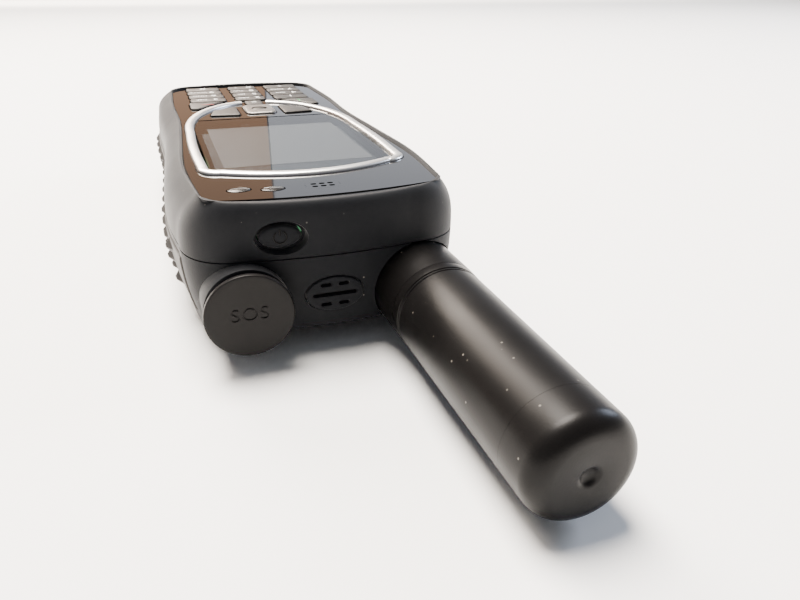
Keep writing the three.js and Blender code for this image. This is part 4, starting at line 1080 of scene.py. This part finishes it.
outline = round_rect(0, -BATTERY_D, 43.4, 63.0, 3)
pack = pillow("battery", outline, BACK - 11.6, BACK, 0.5, turned_over)
stands_for(pack, "battery_pack", "battery", RUBBER)

# %% [markdown]
# ## Setting
# A polished black face has no look of its own: it shows what it mirrors. So the room is made first, as plain
# shapes: a pale floor, and two cards beyond the bottom end, warm brown on one side and pale grey-blue on the
# other. A large soft lamp hangs overhead, one stands behind, and a small cool one lights the right side.


# %% Setting
def sheet(name, corners, material):
    """Flat sheet of the setting, which isn't part of the phone."""
    obj = mesh_object(name, np.array(corners, float), [list(range(len(corners)))])
    obj.data.materials.append(material)
    return obj


def glow(name, code, strength):
    """Evenly glowing material."""
    material, tree = blank_material(name)
    light = add(tree, "ShaderNodeEmission", Strength=strength)
    light.inputs[0].default_value = linear(code)
    end_tree(tree, light)
    return material


def upright_card(name, left, right, material):
    """Upright sheet beyond the bottom end, between two places across the floor, in metres."""
    y, low, high = 0.75, 0.07, 0.32
    sheet(name, [(left, y, low), (right, y, low), (right, y, high), (left, y, high)], material)


FLOOR = finish("pale floor", "#f4f4f3", 0.9, mottle=0.01)
FLOOR_HALF = 25  # metres, so that its edge is never in view
sheet("floor", [(x * FLOOR_HALF, y * FLOOR_HALF, 0) for x, y in ((-1, -1), (1, -1), (1, 1), (-1, 1))], FLOOR)

world = bpy.data.worlds.new("studio")
world.use_nodes = True
world.node_tree.nodes["Background"].inputs[0].default_value = linear("#e9edf5")
world.node_tree.nodes["Background"].inputs[1].default_value = 0.3
bpy.context.scene.world = world

WARM = glow("warm wall", "#c9a184", 1.5)
COOL = glow("pale wall", "#dfe2ea", 1.6)
upright_card("warm card", -1.2, 0.111, WARM)
upright_card("pale card", 0.113, 1.2, COOL)


# %% Lamps
def lamp(name, place, target, size, watts, code):
    """Round soft lamp at a place, turned to look at a target."""
    data = bpy.data.lights.new(name, "AREA")
    data.shape, data.size, data.energy = "DISK", size, watts
    data.color = linear(code)[:3]
    obj = bpy.data.objects.new(name, data)
    obj.location = place
    obj.rotation_euler = (Vector(target) - Vector(place)).to_track_quat("-Z", "Y").to_euler()
    bpy.context.scene.collection.objects.link(obj)


lamp("overhead", (-0.1, 0.25, 0.95), (0, 0, 0), 0.6, 62, "#fff6ec")
lamp("behind", (-0.25, 1.1, 0.75), (0, 0, 0), 0.7, 48, "#fff0e0")
lamp("cool side", (0.95, 0.15, 0.45), (0, -0.05, 0), 0.4, 9, "#dce8ff")
print("lamps:", len(bpy.data.lights))

# %% [markdown]
# ## Camera
# The camera stands close to the antenna's tip and looks down along the phone, which makes the tip large and
# the keypad small. Its direction comes from three angles: where it looks across the floor, how far down, and
# its roll. The columns of its matrix are its right, its up and its back.

# %% Camera
azimuth, elevation, roll = map(math.radians, (19.91, 28.05, 1.34))
level = math.cos(elevation)
ahead = np.array([math.sin(azimuth) * level, math.cos(azimuth) * level, -math.sin(elevation)])
side = np.array([math.cos(azimuth), -math.sin(azimuth), 0.0])
above = np.cross(side, ahead)
level_x = math.cos(roll) * side + math.sin(roll) * above
level_y = -math.sin(roll) * side + math.cos(roll) * above
view = bpy.data.cameras.new("camera")
view.lens, view.sensor_width, view.clip_start = 30.72, 36, 0.005
camera = bpy.data.objects.new("camera", view)
pose = np.eye(4)
pose[:3, :3] = np.column_stack([level_x, level_y, -ahead])
pose[:3, 3] = in_phone([[-29.5, -122.82, 70.93]])[0]
camera.matrix_world = Matrix(pose.tolist())
bpy.context.scene.collection.objects.link(camera)
bpy.context.scene.camera = camera
print("camera at", [round(float(v), 4) for v in pose[:3, 3]], "m")
